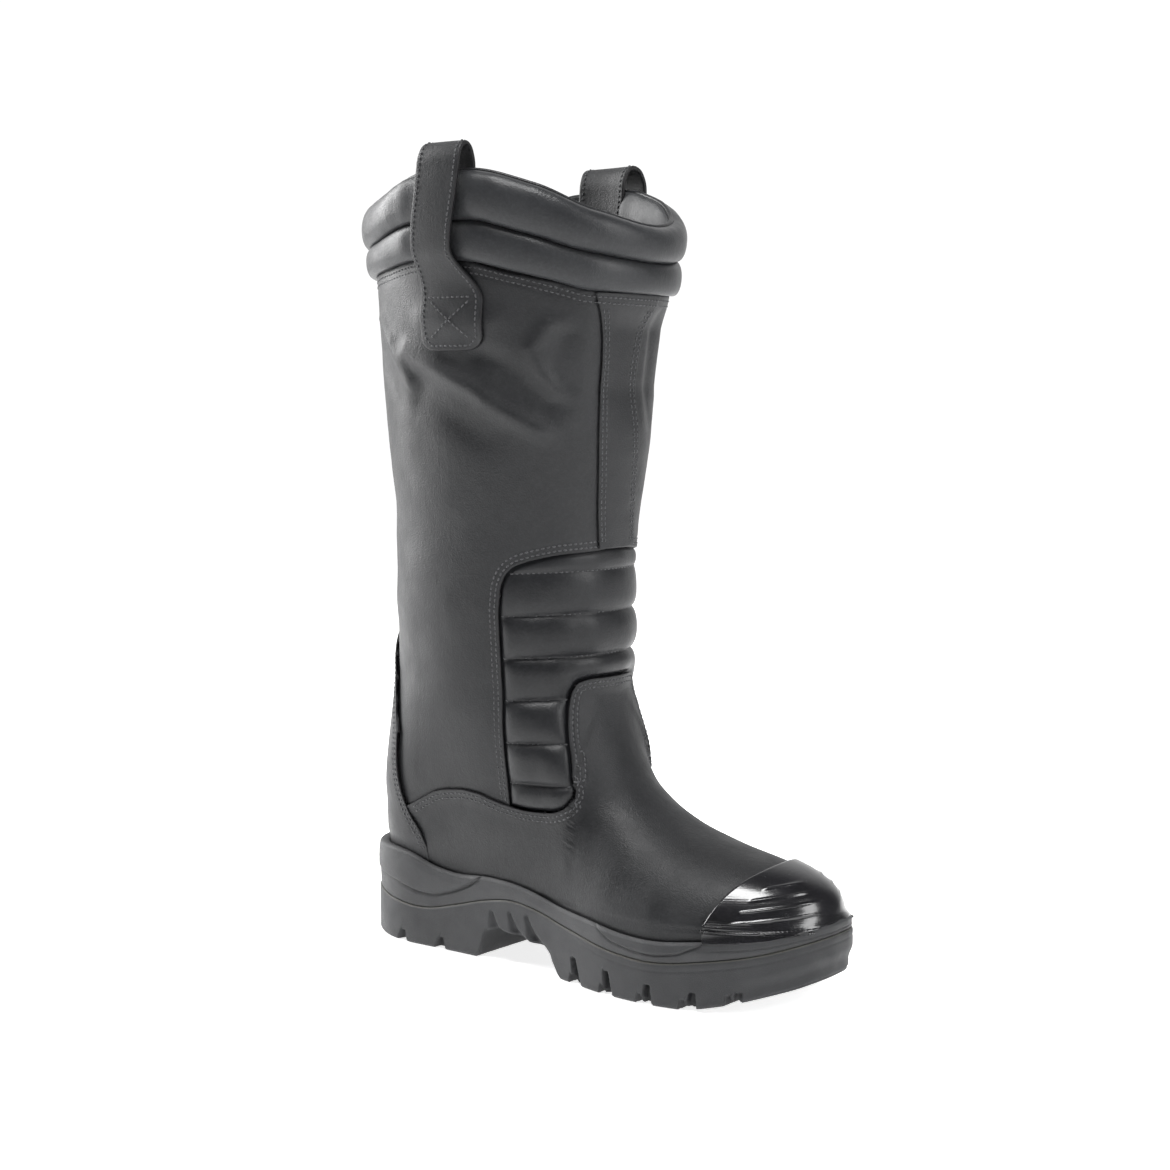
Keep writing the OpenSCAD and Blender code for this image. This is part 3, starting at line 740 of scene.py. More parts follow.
# ---------------------------------------------------------------- quarters
PANEL_SIDE, PANEL_CORNER = 64.2, 205.0
panel_side = float(vamp_edge(np.array([PANEL_SIDE]))[0])
panel_path = ([[float(column(-PANEL_SIDE, z)), z] for z in np.arange(panel_side - 4, PANEL_CORNER, 1.5)]
              + [[c, float(seam(PANEL, c))] for c in np.arange(-PANEL_SIDE, PANEL_SIDE + 0.01, 0.3)]
              + [[float(column(PANEL_SIDE, z)), z] for z in np.arange(204, panel_side - 4, -1.5)])
for item in panel_path:
    if item[1] > 204.9:
        item[0] = float(column(item[0], item[1]))
panel_line = edge_line(panel_path)
panel_fine = even(panel_path, 0.5)
panel_rows = [even(beside(panel_fine, d), 0.5) for d in (2.4, 5.2)]
panel_row_lines = [edge_line(r) for r in panel_rows]
collar_path = [[a, float(seam(COLLAR, a))] for a in np.arange(-180, 180.1, 1.0)]
collar_rows = [even(np.array(collar_path) - [0, d]) for d in (3.6, 6.6)]
collar_row_lines = [edge_line(r) for r in collar_rows]


def quarter_depth(a, z, to_panel):
    under = ramp(1.5, -1.5, z - seam(VAMP, np.minimum(np.abs(a), 139)))
    under = under * (np.abs(a) < 133)
    tucked = 2.4 * ramp(-0.6, 1.2, z - seam(COLLAR, a))
    return relief(a, z) - 0.75 * under + 0.35 * (1 - ramp(0, 7, to_panel)) - tucked


def quarter(side):
    grids = []
    main = graded(PANEL_SIDE, 179.9, 1.25, (64.2, 65.8, 0.2), (176.9, 179.9, 0.5))
    front = graded(0.0, PANEL_SIDE, 1.25, (62.6, 64.2, 0.2))
    rise = np.concatenate([[0, 0.003, 0.007, 0.012, 0.018, 0.026, 0.036], np.linspace(0.05, 1, 96)])
    for cols, lower in ((main, True), (front, False)):
        top = seam(COLLAR, cols) + 2.5
        start = np.full(cols.shape, PANEL_CORNER) if lower else seam(PANEL, cols)
        z = start + (top - start) * rise[:, None]
        if lower:
            foot = np.minimum(vamp_edge(cols), 104) - 6
            foot = np.where(cols > 125, np.maximum(foot, 76), foot)
            z = np.concatenate([foot + (PANEL_CORNER - foot) * np.linspace(0, 1, 72)[:-1, None], z])
        a = column(np.broadcast_to(cols, z.shape) * side, z)
        p = skin(a, z)
        to_panel = panel_line.distance(p)
        depth = (quarter_depth(a, z, to_panel) - rounded(to_panel) - sewn(p, panel_row_lines)
                 - sewn(p, collar_row_lines) - 0.9 * ramp(178.6, 179.9, np.abs(cols)))
        points, edge = off(a, z, depth), cut_mark(to_panel)
        if side < 0:
            points, edge = points[:, ::-1], edge[:, ::-1]
        grids.append((points, edge))
    name = "quarter_lateral" if side < 0 else "quarter_medial"
    obj = leather_sheet(name + "_leather", grids, 2.0, BOOT)
    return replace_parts(obj, name)


def quarter_run(path):
    a, z = path[:, 0], path[:, 1]
    d = quarter_depth(a, z, panel_line.distance(skin(a, z))) - THREAD_SINK
    return off(a, z, d), normal(a, z)


quarter_lateral, quarter_medial = quarter(-1), quarter(1)
side_seam = [np.array([[s * 176.2, z] for z in np.arange(186, 389, 1.0)]) for s in (-1, 1)]
quarter_thread = stitches("quarter_stitches",
                          [quarter_run(r[r[:, 1] > panel_side + 2]) for r in panel_rows]
                          + [quarter_run(r) for r in collar_rows + side_seam])

# ---------------------------------------------------------------- quilted ankle panel
QUILT = [226, 202, 178, 154, 130, 107]


def quilt_height(a, z):
    """Height of a quilt line over the panel; the lines dip a little towards the front."""
    return z + 1.5 * np.cos(np.radians(a) * 1.5)


def quilt_puff(a, z, edge):
    levels = np.array([242] + QUILT + [84], float)
    h = z - 1.5 * np.cos(np.radians(a) * 1.5)
    i = np.clip(np.searchsorted(-levels, -h) - 1, 0, len(levels) - 2)
    t = np.clip((levels[i] - h) / (levels[i] - levels[i + 1]), 0, 1)
    arch = np.maximum(0, 1 - np.abs(2 * t - 1) ** 2.4) ** 0.62
    crinkle = 0.35 * ripple(skin(a, z) * [1, 1, 0.35], 17, 31) * arch ** 0.5
    full = 4.3 * mix(0.4, 1, ramp(236, 186, z))
    return (full * arch + crinkle) * (1 - np.exp(-(edge / 4.2) ** 1.3)) - 1.1 * (1 - ramp(0, 2.5, edge))


cols = mirrored(graded(0, 66.5, 0.9))
top = seam(PANEL, np.minimum(np.abs(cols), PANEL_SIDE)) + 4
Z = 84 + (top - 84) * np.linspace(0, 1, 170)[:, None]
A = column(np.broadcast_to(cols, Z.shape), Z)
P = skin(A, Z)
edge = np.minimum(panel_line.distance(P), vamp_line.distance(P))
inside = (Z < top - 4) & (np.abs(cols) < PANEL_SIDE) & (Z > vamp_edge(cols))
edge = np.where(inside, edge, 0)
depth = -0.9 + relief(A, Z) * 0.5 + quilt_puff(A, Z, edge)
panel = leather_sheet("flex_panel_quilted", [(off(A, Z, depth), 0)], 1.4, SOFT)
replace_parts(panel, "flex_panel")
quilt_runs = []
for z in QUILT:
    c = np.arange(-63.4, 63.41, 0.5)
    a = column(c, z)
    z_line = quilt_height(a, np.full_like(a, z))
    a = column(c, z_line)
    p = skin(a, z_line)
    gap = np.minimum(panel_line.distance(p), vamp_line.distance(p))
    keep = (z_line > vamp_edge(c) + 1.2) & (z_line < seam(PANEL, c) - 1.2)
    d = -0.9 + relief(a, z_line) * 0.5 + quilt_puff(a, z_line, gap) + 0.12
    for part in (keep & (c < 0), keep & (c >= 0)) if z < 166 else (keep,):
        if part.sum() > 8:
            quilt_runs.append((off(a[part], z_line[part], d[part]), normal(a[part], z_line[part])))
panel_thread = stitches("quilt_stitches", quilt_runs)
a = np.arange(-58, 58.1, 2.0)
split = ankle_split(a)
Z = split + 3 + (231 - split) * np.linspace(0, 1, 30)[:, None]
A = np.broadcast_to(a, Z.shape)
panel_foam = leather_sheet("flex_panel_wadding", [(off(A, Z, -2.9 + 0 * Z), 0)], 1.6, FOAM)
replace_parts(panel_foam, "flex_panel_foam")

# ---------------------------------------------------------------- backstay
s_line = np.linspace(-49.8, 49.8, 161)
stay_path = ([[180 - 49.8, h] for h in np.arange(44, 126.5, 1.0)]
             + [[180 + s, float(seam(BACKSTAY, s))] for s in s_line]
             + [[180 + 49.8, h] for h in np.arange(126, 43.5, -1.0)])
stay_line = edge_line(stay_path)
stay_fine = even(stay_path, 0.5)
stay_rows = [even(beside(stay_fine, -d), 0.5) for d in (2.3, 5.0)]
stay_row_lines = [edge_line(r) for r in stay_rows]
spread = graded(-49.8, 49.8, 1.3, (-49.8, -48.2, 0.2), (48.2, 49.8, 0.2))
base, tip = wall_base(180 - np.abs(spread)), seam(BACKSTAY, spread)
t = np.concatenate([np.linspace(0, 0.95, 80), [0.965, 0.976, 0.985, 0.992, 0.997, 1]])
Z = base + (tip - base) * t[:, None]
A = np.broadcast_to(180 + spread, Z.shape)
P = skin(A, Z)
near = stay_line.distance(P)


def stay_depth(a, z):
    return 0.9 + 1.3 * ramp(56, 66, z) + 0.6 * ramp(80, 94, z) + relief(a, z)


depth = stay_depth(A, Z) - rounded(near) - sewn(P, stay_row_lines)
backstay = leather_sheet("backstay_leather", [(off(A, Z, depth), cut_mark(near))], 1.9, BOOT)
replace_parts(backstay, "backstay")


def stay_run(path):
    path = path[path[:, 1] > 57]
    a, z = path[:, 0], path[:, 1]
    return off(a, z, stay_depth(a, z) - THREAD_SINK), normal(a, z)


stay_thread = stitches("backstay_stitches", [stay_run(r) for r in stay_rows])
across_ankle(vamp, vamp_thread, quarter_lateral, quarter_medial, quarter_thread, panel,
             panel_thread, panel_foam, backstay, stay_thread)

# ---------------------------------------------------------------- front strip
STRIP_CENTRE = [[236, 0], [275, -5], [310, -8.5], [385, -10]]
STRIP_DEPTH = 1.75
STRIP_HALF = [[236, 13.5], [300, 12.5], [345, 12], [362, 13.5], [385, 19]]


def strip_at(s, z):
    return curve(STRIP_CENTRE, z) + s * curve(STRIP_HALF, z)


z = graded(239.5, 380.5, 1.4, (239.5, 241.5, 0.25))
s = np.concatenate([[-1, -0.985, -0.96, -0.93], np.linspace(-0.88, 0.88, 27), [0.93, 0.96, 0.985, 1]])
Z, S = np.meshgrid(z, s, indexing="ij")
Z = np.minimum(Z, seam(COLLAR, strip_at(S, Z)) - 0.3)
A = strip_at(S, Z)
strip_edges = [[float(strip_at(-1, h)), h] for h in np.arange(382, 239.4, -1)]
strip_edges += [[float(strip_at(v, 239.5)), 239.5] for v in np.linspace(-1, 1, 30)]
strip_edges += [[float(strip_at(1, h)), h] for h in np.arange(239.5, 382, 1)]
strip_line = edge_line(strip_edges)
strip_row_paths = [np.array([[float(strip_at(side, h)) - side * d, h] for h in np.arange(243, 373, 1.0)])
                   for side in (-1, 1) for d in (1.7, 3.9)]
strip_row_lines = [edge_line(r) for r in strip_row_paths]
P = skin(A, Z)
near = strip_line.distance(P)
depth = STRIP_DEPTH + relief(A, Z) - rounded(near) - sewn(P, strip_row_lines) - sewn(P, collar_row_lines)
strip = leather_sheet("front_strip_leather", [(off(A, Z, depth), cut_mark(near))], 1.7, BOOT)
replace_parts(strip, "front_strip")


def strip_run(path):
    a, z = path[:, 0], path[:, 1]
    return off(a, z, STRIP_DEPTH - THREAD_SINK + relief(a, z)), normal(a, z)


across_strip = [r[np.abs(r[:, 0] + 10) < 17.5] for r in collar_rows]
strip_thread = stitches("front_strip_stitches", [strip_run(r) for r in strip_row_paths + across_strip])
on("shaft", strip, strip_thread)

# ---------------------------------------------------------------- collar
RING = np.arange(-180, 180, 1.2)
STRAP_FRONT, STRAP_BACK = 79.5, 99


def under_strap(a, soft=6):
    a = np.abs(a)
    return ramp(STRAP_FRONT - soft, STRAP_FRONT + 1, a) * ramp(STRAP_BACK + soft, STRAP_BACK - 1, a)


def torus_faces(rings, around):
    """Faces through closed rings, the last joined to the first."""
    i, k = np.meshgrid(np.arange(rings), np.arange(around), indexing="ij")
    i2, k2 = (i + 1) % rings, (k + 1) % around
    quads = [i * around + k, i * around + k2, i2 * around + k2, i2 * around + k]
    return np.stack(quads, -1).reshape(-1, 4)


def collar_tube(name, node, low, high, bulge, seed, inset=0.0, material=SOFT_PAINTED_LIT, slot="soft_leather"):
    """Tube round the collar, drawn in at its seams, with creases where it turns. By default it wears the
    soft leather painted lighter, a painted highlight.
    """
    phi = np.radians(np.concatenate([np.linspace(-90, 90, 33), np.linspace(108, 252, 9)]))
    A, F = np.meshgrid(RING, phi, indexing="ij")
    sine, cosine = np.sin(F), np.cos(F)
    middle, half = (seam(low, A) + seam(high, A)) / 2, (seam(high, A) - seam(low, A)) / 2
    point = skin(A, middle)
    swell = 1 + 0.05 * ripple(point, 70, seed) + 0.03 * ripple(point, 21, seed + 1)
    pinch = np.abs(sine) ** 3 * ripple(point * [1, 1, 0], 9, seed + 2) * 0.35
    tight = bulge * (swell - 0.14 * under_strap(A)) - inset
    out = np.where(cosine > 0, np.maximum(cosine, 0) ** 0.8 * tight, (1.2 - inset / 2) * cosine)
    z = middle + (half + 0.3 - inset) * np.sign(sine) * np.abs(sine) ** 0.9
    z = z - 2.2 * np.maximum(0, cosine) * np.maximum(0, -sine)
    points = off(A, z, -1.5 + out + pinch)
    obj = add_mesh(name, place(points.reshape(-1, 3)), torus_faces(len(RING), len(phi)), material)
    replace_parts(obj, node)
    return turn_out(obj)


UPPER, LOWER, WADDING = (GROOVE, RIM, 9.4, 41), (COLLAR, GROOVE, 7.4, 51), (1.2, FOAM, "foam")
collar_upper = collar_tube("collar_upper_roll", "collar_upper", *UPPER)
collar_lower = collar_tube("collar_lower_roll", "collar_lower", *LOWER)
upper_wadding = collar_tube("collar_upper_wadding", "collar_foam_upper", *UPPER, *WADDING)
lower_wadding = collar_tube("collar_lower_wadding", "collar_foam_lower", *LOWER, *WADDING)
on("shaft", upper_wadding, lower_wadding)


def piping(name, z, d, radius):
    ang = np.arange(10) * 2 * np.pi / 10
    c, n = off(RING, z, d), normal(RING, z)
    t = unit(np.roll(c, -1, 0) - np.roll(c, 1, 0))
    b = np.cross(n, t)
    rings = c[:, None] + radius * (n[:, None] * np.cos(ang)[:, None]
                                   + b[:, None] * np.sin(ang)[:, None])
    return turn_out(add_mesh(name, place(rings.reshape(-1, 3)), torus_faces(*rings.shape[:2]),
                             SOFT))


rim_piping = piping("rim_piping", seam(RIM, RING) + 0.3, -2.1, 1.45)
closed_ring = np.append(RING, 180.0)
groove_z = seam(GROOVE, closed_ring)
groove_thread = stitches("collar_groove_stitches", [
    (off(closed_ring, groove_z, 0.6), normal(closed_ring, groove_z))])

# Inside of the mouth: a smooth band that swells below the rim
t = np.linspace(0, 1, 60)
A, T = np.meshgrid(RING, t, indexing="ij")
low, high = seam(COLLAR, A) - 6, seam(RIM, A) + 0.4
Z = low + (high - low) * T
swell = np.maximum(0, np.sin(np.pi * np.clip((Z - high + 30) / 30, 0, 1))) ** 0.7
swell = swell * 4.2 * (1 - under_strap(A)) * (1 + 0.12 * ripple(skin(A, Z), 60, 61))
inner = off(A, Z, -4.9 - swell * ramp(1.0, 0.985, T))
outer = off(A, Z, -3.2 + 0 * Z)
loop = np.concatenate([outer, inner[:, ::-1]], 1)
facing = turn_out(add_mesh("collar_facing_band", place(loop.reshape(-1, 3)),
                           torus_faces(*loop.shape[:2]), FACING))
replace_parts(facing, "collar_facing")
facing_low = seam(COLLAR, closed_ring) - 3
facing_thread = stitches("collar_facing_stitches", [
    (off(closed_ring, facing_low, -4.95), -normal(closed_ring, facing_low))])
on("shaft", collar_upper, collar_lower, rim_piping, groove_thread, facing, facing_thread)

# ---------------------------------------------------------------- linings
def lining(name, node, low, high, rows, depth):
    z = low + (high - low) * np.linspace(0, 1, rows)[:, None]
    a = np.broadcast_to(RING, z.shape)
    points = off(a, z, depth(z) + np.minimum(0, relief(a, z)))
    obj = leather_sheet(name, [(points, 0)], 1.4, LINING, loop=True)
    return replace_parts(obj, node)


split = ankle_split(RING)
foot_lining = lining("foot_lining_knit", "foot_lining", wall_base(RING), split, 50,
                     lambda z: -5.9 + 2.6 * ramp(84, 130, z))
shaft_lining = lining("shaft_lining_knit", "shaft_lining", split + 0.3,
                      seam(COLLAR, RING) - 5.5, 90, lambda z: -5.9 + 2.6 * ramp(84, 130, z))
across_ankle(foot_lining, shaft_lining)

# ---------------------------------------------------------------- pull straps
STRAP_T, STRAP_HALF, TAB_FRONT, STRAP_LEAN = 2.4, 14, 71, 4.5
STRAP_PATH = np.array([
    [1.7, 349.5], [1.7, 368], [1.8, 387], [4.8, 396], [8.8, 404], [10.6, 414], [11.2, 430],
    [10.8, 444], [9.2, 454], [5.8, 459.2], [1.6, 460.8], [-2.6, 459.2], [-6, 453.5],
    [-7, 443], [-7, 426], [-7, 408]])
hop = np.concatenate([[0], np.cumsum(np.hypot(*np.diff(STRAP_PATH, axis=0).T))])
STRAP_LENGTH = hop[-1]


def strap_middle(u):
    """Middle of the strap at a length u from its lower outer end: depth and height."""
    return (curve(np.stack([hop, STRAP_PATH[:, 0]], -1), u),
            curve(np.stack([hop, STRAP_PATH[:, 1]], -1), u))


def strap_point(side, s, u, out):
    """s runs from -1 at the back edge to 1 at the front edge."""
    d, z = strap_middle(u)
    d2, z2 = strap_middle(np.minimum(u + 0.4, STRAP_LENGTH))
    d1, z1 = strap_middle(np.maximum(u - 0.4, 0))
    size = np.hypot(d2 - d1, z2 - z1)
    across = (z2 - z1) / size, -(d2 - d1) / size
    rear, fore = (97.5, 81.5) if side < 0 else (101, 78)
    front = np.where(u < 90, mix(TAB_FRONT, fore, ramp(376, 404, z)), fore)
    lean = STRAP_LEAN * ramp(392, 452, z)
    angle = side * (mix(rear, front, (s + 1) / 2) - lean)
    turn = np.clip((np.abs(s) - 0.5) / 0.5, 0, 1)
    corner = 8.5 * (1 - np.sqrt(np.maximum(0, 1 - turn**2))) * ramp(24, 0, u)
    height = z + across[1] * out + corner
    cling = np.where(u < 60, relief(angle, np.minimum(height, 398)) * ramp(52, 30, u), 0)
    return off(angle, height, d + across[0] * out + cling)


def pull_strap(side, node):
    s = np.concatenate([[-1, -0.99, -0.965, -0.93], np.linspace(-0.88, 0.88, 17), [0.93, 0.965, 0.99, 1]])
    u = np.concatenate([[0, 0.25, 0.7, 1.4], np.arange(2.4, STRAP_LENGTH - 1.6, 1.4),
                        STRAP_LENGTH - np.array([1.2, 0.5, 0])])
    U, S = np.meshgrid(u, s, indexing="ij")
    near = np.minimum((1 - np.abs(S)) * STRAP_HALF, np.minimum(U, STRAP_LENGTH - U))
    half = STRAP_T / 2 - rounded(near, 0.9) * 0.9
    outer, inner = strap_point(side, S, U, half), strap_point(side, S, U, -half)
    loop = np.concatenate([outer, inner[:, ::-1]], 1)
    mark = cut_mark(np.minimum(near, 9), 0.7)
    mark = np.concatenate([mark, mark[:, ::-1]], 1)
    name = node + "_leather"
    obj = turn_out(closed_tube(name, loop, STRAP, {"cut": mark}))
    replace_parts(obj, node)

    def line(points):
        points = np.asarray(points, float)
        hops = np.hypot(np.diff(points[:, 0]) * STRAP_HALF, np.diff(points[:, 1]))
        size = np.concatenate([[0], np.cumsum(hops)])
        t = np.arange(0, size[-1], 0.8)
        ls, lu = np.interp(t, size, points[:, 0]), np.interp(t, size, points[:, 1])
        p = strap_point(side, ls, lu, STRAP_T / 2 + 0.02)
        return p, unit(p - strap_point(side, ls, lu, -STRAP_T / 2))

    edge, high = 0.83, STRAP_LENGTH - 3
    runs = [line([(edge, high), (edge, 6), (0.62, 2.8), (-0.62, 2.8), (-edge, 6), (-edge, high)]),
            line([(-edge + 0.12, 29), (edge - 0.12, 29)]),
            line([(-0.62, 27), (0.62, 7)]), line([(0.62, 27), (-0.62, 7)])]
    thread = stitches(node + "_stitches", runs)
    on("shaft", obj, thread)
    return obj


pull_strap(-1, "pull_strap_lateral")
pull_strap(1, "pull_strap_medial")


# ---------------------------------------------------------------- sole
def ring_point(a, d):
    t = skin(a + 0.5, OUTLINE_Z) - skin(a - 0.5, OUTLINE_Z)
    n = unit(np.stack([t[..., 1], -t[..., 0]], -1))
    return skin(a, OUTLINE_Z)[..., :2] + n * np.asarray(d)[..., None]


def lip(a):
    c = np.cos(np.radians(a))
    return (LIP_SIDE + (LIP_TOE - LIP_SIDE) * np.maximum(0, c) ** 4
            + (LIP_HEEL - LIP_SIDE) * np.maximum(0, -c) ** 4)


def soft_line(points, x, spread=1.6):
    """A line of straight stretches with its corners eased."""
    p = np.asarray(points, float)
    return np.mean([np.interp(x + k, p[:, 0], p[:, 1]) for k in np.linspace(-spread, spread, 5)], axis=0)


scan = np.linspace(-180, 180, 5401)
rim = ring_point(scan, lip(scan))
length = np.concatenate([[0], np.cumsum(np.linalg.norm(np.diff(rim, axis=0), axis=1))])
SIDES = 1280
SA = np.interp(np.arange(SIDES) * length[-1] / SIDES, length, scan)
EDGE = ring_point(SA, lip(SA))
for _ in range(6):
    EDGE = (np.roll(EDGE, 1, 0) + EDGE * 2 + np.roll(EDGE, -1, 0)) / 4
tangent = unit(np.roll(EDGE, -1, 0) - np.roll(EDGE, 1, 0))
OUTWARD = np.stack([tangent[:, 1], -tangent[:, 0]], -1)
CUP = ring_point(SA, np.full(SIDES, CUP_GAP))
EX, EY = EDGE[:, 0], EDGE[:, 1]
spine_x = np.clip(EX, 40, 258)
SPINE = np.stack([spine_x, centre_y(spine_x, 0) * 0.7 - 3.0 * ramp(150, 220, spine_x)], -1)

HEEL_GROOVES, FORE_GROOVES = [41, 71], [180, 205, 231, 256, 279]
GROOVE_W, GROOVE_H = 3.4, 5.0


def trench(distance, half, wall=0.7):
    return ramp(half + wall / 2, half - wall / 2, np.abs(distance))


def groove_distance(x, y, at):
    slope = 4 if at < 120 else -5
    return (x - at) * math.cos(math.radians(slope)) + y * math.sin(math.radians(slope))


def ground(x, y):
    """Height of the tread's underside."""
    skewed = np.where((x > 92) & (x < 130), x - (y + 45) * 0.05, x)
    low = soft_line(GROUND, skewed)
    deep = 0
    for at in HEEL_GROOVES + FORE_GROOVES:
        deep = np.maximum(deep, GROOVE_H * trench(groove_distance(x, y, at), GROOVE_W / 2))
    lug = ramp(0, 6, x - 12) * ramp(99, 96, x) + ramp(168, 171, x) * ramp(296, 288, x)
    for at, turn in ((24, 0), (56, 1), (86, 0), (193, 1), (218, 0), (243, 1), (267, 0)):
        chevron = x - at - (0.28 if turn else -0.28) * np.abs(y)
        deep = np.maximum(deep, 1.6 * trench(chevron, 0.9, 0.6) * ramp(33, 31, np.abs(y)) * lug)
    bars = 0.5 + 0.5 * np.cos(2 * np.pi * (x - 2) / 7.0)
    waist = ramp(112, 118, x) * ramp(152, 147, x) * ramp(33, 29, np.abs(y))
    return low + deep * ramp(24, 14, low) - 1.4 * bars**3 * waist


# Cuts in the side of the tread: [x, half width at the ground, height, depth, lean]
NOTCHES = [(41, 2.6, 6.5, 5.0, 0.3), (71, 2.6, 6.5, 5.0, 0.3), (180.5, 2.6, 14.5, 6.5, -0.22),
           (205, 2.5, 12.8, 6.5, -0.14), (231, 2.4, 10.5, 6, 0), (256, 2.4, 9.5, 6, 0.08),
           (278.5, 2.4, 11.5, 5, 0.15)]
SCOOPS = [[(112, 28), (113.2, 22), (117, 14)], [(126, 29.5), (129.5, 21), (138, 12)],
          [(139, 30), (143.5, 20), (154, 10)]]
CREST = [[-10, 39.5], [8, 39], [36, 36], [55, 32], [68, 31.5], [84, 36.5], [94, 41], [102, 46], [110, 60]]
RAND = [[186, 46], [196, 35.5], [206, 30.6], [222, 27.8], [235, 27.6], [248, 29.6], [262, 36], [270, 44]]


def wall_inset(x, z):
    """How far the side of the tread lies in from the outline."""
    inset = 0
    low = soft_line(GROUND, x)
    for at, half, high, deep, lean in NOTCHES:
        width = half * (1.15 - 0.5 * np.clip(z / high, 0, 1))
        cut = deep * trench(x - at - lean * z, width, 0.9)
        inset = np.maximum(inset, cut * ramp(high + 0.8, high - 0.8, z))
    for line in SCOOPS:
        near = line_distance(x, z, line)
        taper = 1.2 + 2.0 * ramp(30, 14, z)
        inset = np.maximum(inset, (1.2 + 2.6 * ramp(30, 16, z)) * np.exp(-(near / taper) ** 2.4))
    inset = np.maximum(inset, 2.2 * ramp(272, 300, x) * ramp(13, 5, z - low))
    return inset


def side_mesh(name, rings, material, extra):
    rings = np.asarray(rings)
    faces = grid_faces(rings.shape[0], SIDES, True)
    obj = add_mesh(name, place(rings.reshape(-1, 3)), faces, material, extra)
    weld(obj, 0.03)
    return turn_out(obj)


def at_height(xy, z):
    return np.concatenate([xy, np.broadcast_to(np.asarray(z, float), xy.shape[:1])[:, None]], -1)


parting = curve(PARTING, EX)
foot_z = ground(EX, EY)
rings, pale = [], []
first = EDGE - OUTWARD * (wall_inset(EX, foot_z) + 0.9)[:, None]
for r in np.concatenate([np.linspace(0, 0.9, 52), np.linspace(0.92, 1, 8)]):
    xy = SPINE + (first - SPINE) * r
    rings.append(at_height(xy, ground(xy[:, 0], xy[:, 1])))
    pale.append(np.zeros(SIDES))
for t in np.concatenate([[0.012, 0.03, 0.055], np.linspace(0.085, 0.95, 34), [0.967, 0.98, 0.99, 1]]):
    z = foot_z + (parting - foot_z) * t
    lower = 0.9 * (1 - ramp(0, 1.3, z - foot_z))
    upper = 0.55 * np.exp(-((parting - z) / 0.7) ** 2)
    flute = 0.25 * np.exp(-((parting - z - 4.2) / 0.5) ** 2) * ramp(176, 190, EX)
    xy = EDGE - OUTWARD * (wall_inset(EX, z) + lower + upper + flute)[:, None]
    rings.append(at_height(xy, z))
    pale.append(0.12 * np.exp(-((parting - z) / 0.5) ** 2))
for r in (0.96, 0.6, 0):
    xy = SPINE + (EDGE - OUTWARD * 0.6 - SPINE) * r
    rings.append(at_height(xy, parting - 0.05))
    pale.append(np.zeros(SIDES))
outsole = side_mesh("outsole_tread", rings, TREAD, {"pale": np.array(pale)})
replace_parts(outsole, "outsole")

feather = curve(FEATHER, EX)
worn = 0.55 + 0.45 * ripple(np.stack([EX, EY, EX * 0], -1), 38, 71)
crest, rand = soft_line(CREST, EX, 2), soft_line(RAND, EX, 2)
rings, pale, painted_shade = [], [], []


# Each ring gets a pale glue line p and a painted shade d.
def cup_ring(xy, z, p=0.0, d=0.0):
    rings.append(at_height(xy, z))
    pale.append(np.broadcast_to(p, SIDES))
    painted_shade.append(np.broadcast_to(d, SIDES))


for r in (0, 0.6, 0.96):
    cup_ring(SPINE + (EDGE - OUTWARD * 0.6 - SPINE) * r, parting + 0.05)
for t in np.concatenate([[0, 0.012, 0.025], np.linspace(0.045, 0.93, 34), [0.955, 0.975]]):
    z = parting + (feather - parting) * t
    groove = 0.55 * np.exp(-((z - parting) / 0.7) ** 2)
    raised = 0.95 * ramp(-0.2, 1.4, z - crest) * ramp(108, 98, EX)
    crease = 0.75 * np.exp(-((z - crest) / 0.8) ** 2) * ramp(104, 96, EX)
    raised = raised + 0.55 * ramp(-0.2, 1.0, z - rand) * ramp(188, 198, EX) * ramp(268, 258, EX)
    crease = crease + 0.5 * np.exp(-((z - rand) / 0.7) ** 2) * ramp(188, 198, EX) * ramp(268, 262, EX)
    top = 1.1 * ramp(2.0, 0, feather - z) + 0.35 * ramp(6, 2.5, feather - z)
    lines = 0.35 * np.exp(-((feather - z - 4.6) / 0.5) ** 2) * ramp(262, 272, EX)
    bow = 0.5 * np.sin(np.pi * t)
    out = raised - groove - crease - top - lines + bow - 0.8
    # Painted shade: the creases and the lines below the top of the wall are darkened.
    cup_ring(EDGE + OUTWARD * out[:, None], z, 0.16 * np.exp(-((z - parting) / 0.7) ** 2) * worn,
             np.clip(crease + lines, 0, 0.8))
wall_top = EDGE - OUTWARD * 2.0
# The inner lip of the top, going down into the cup, is darkened as painted shade.
for r, drop in ((0.0, 0.12), (0.22, -0.02), (0.5, 0.05), (0.8, 0.5), (1.0, 1.3), (1.04, 2.6)):
    cup_ring(wall_top + (CUP - wall_top) * r, feather - drop, 0, 0.7 if r > 0.7 else 0)
floor = curve(FLOOR, CUP[:, 0])
cup_ring(CUP, floor + 0.5)
for r in (0.97, 0.5, 0):
    xy = SPINE + (CUP - SPINE) * r
    cup_ring(xy, curve(FLOOR, xy[:, 0]) - 0.02)
# On the midsole the cut attribute holds painted shade, not cut edges.
midsole = side_mesh("midsole_cup", rings, CUP_RUBBER,
                    {"pale": np.array(pale), "cut": np.array(painted_shade)})
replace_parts(midsole, "midsole")

# ---------------------------------------------------------------- scuff cap
BUMPER_EDGE = [[36, 257], [44, 259], [51, 261.5], [59, 265.5], [66, 271], [72, 279], [78, 284]]
RIBS = [([281, 61.5], [306, 64.2]), ([278, 56.6], [308, 60]), ([275, 51.6], [310, 55.6]),
        ([272, 46.4], [312, 51])]


def bumper_top(a):
    lo, hi = np.full(a.shape, 38.0), np.full(a.shape, 90.0)
    for _ in range(18):
        m = (lo + hi) / 2
        ahead = skin_x(a, m) > curve(BUMPER_EDGE, m)
        lo, hi = np.where(ahead, m, lo), np.where(ahead, hi, m)
    return (lo + hi) / 2


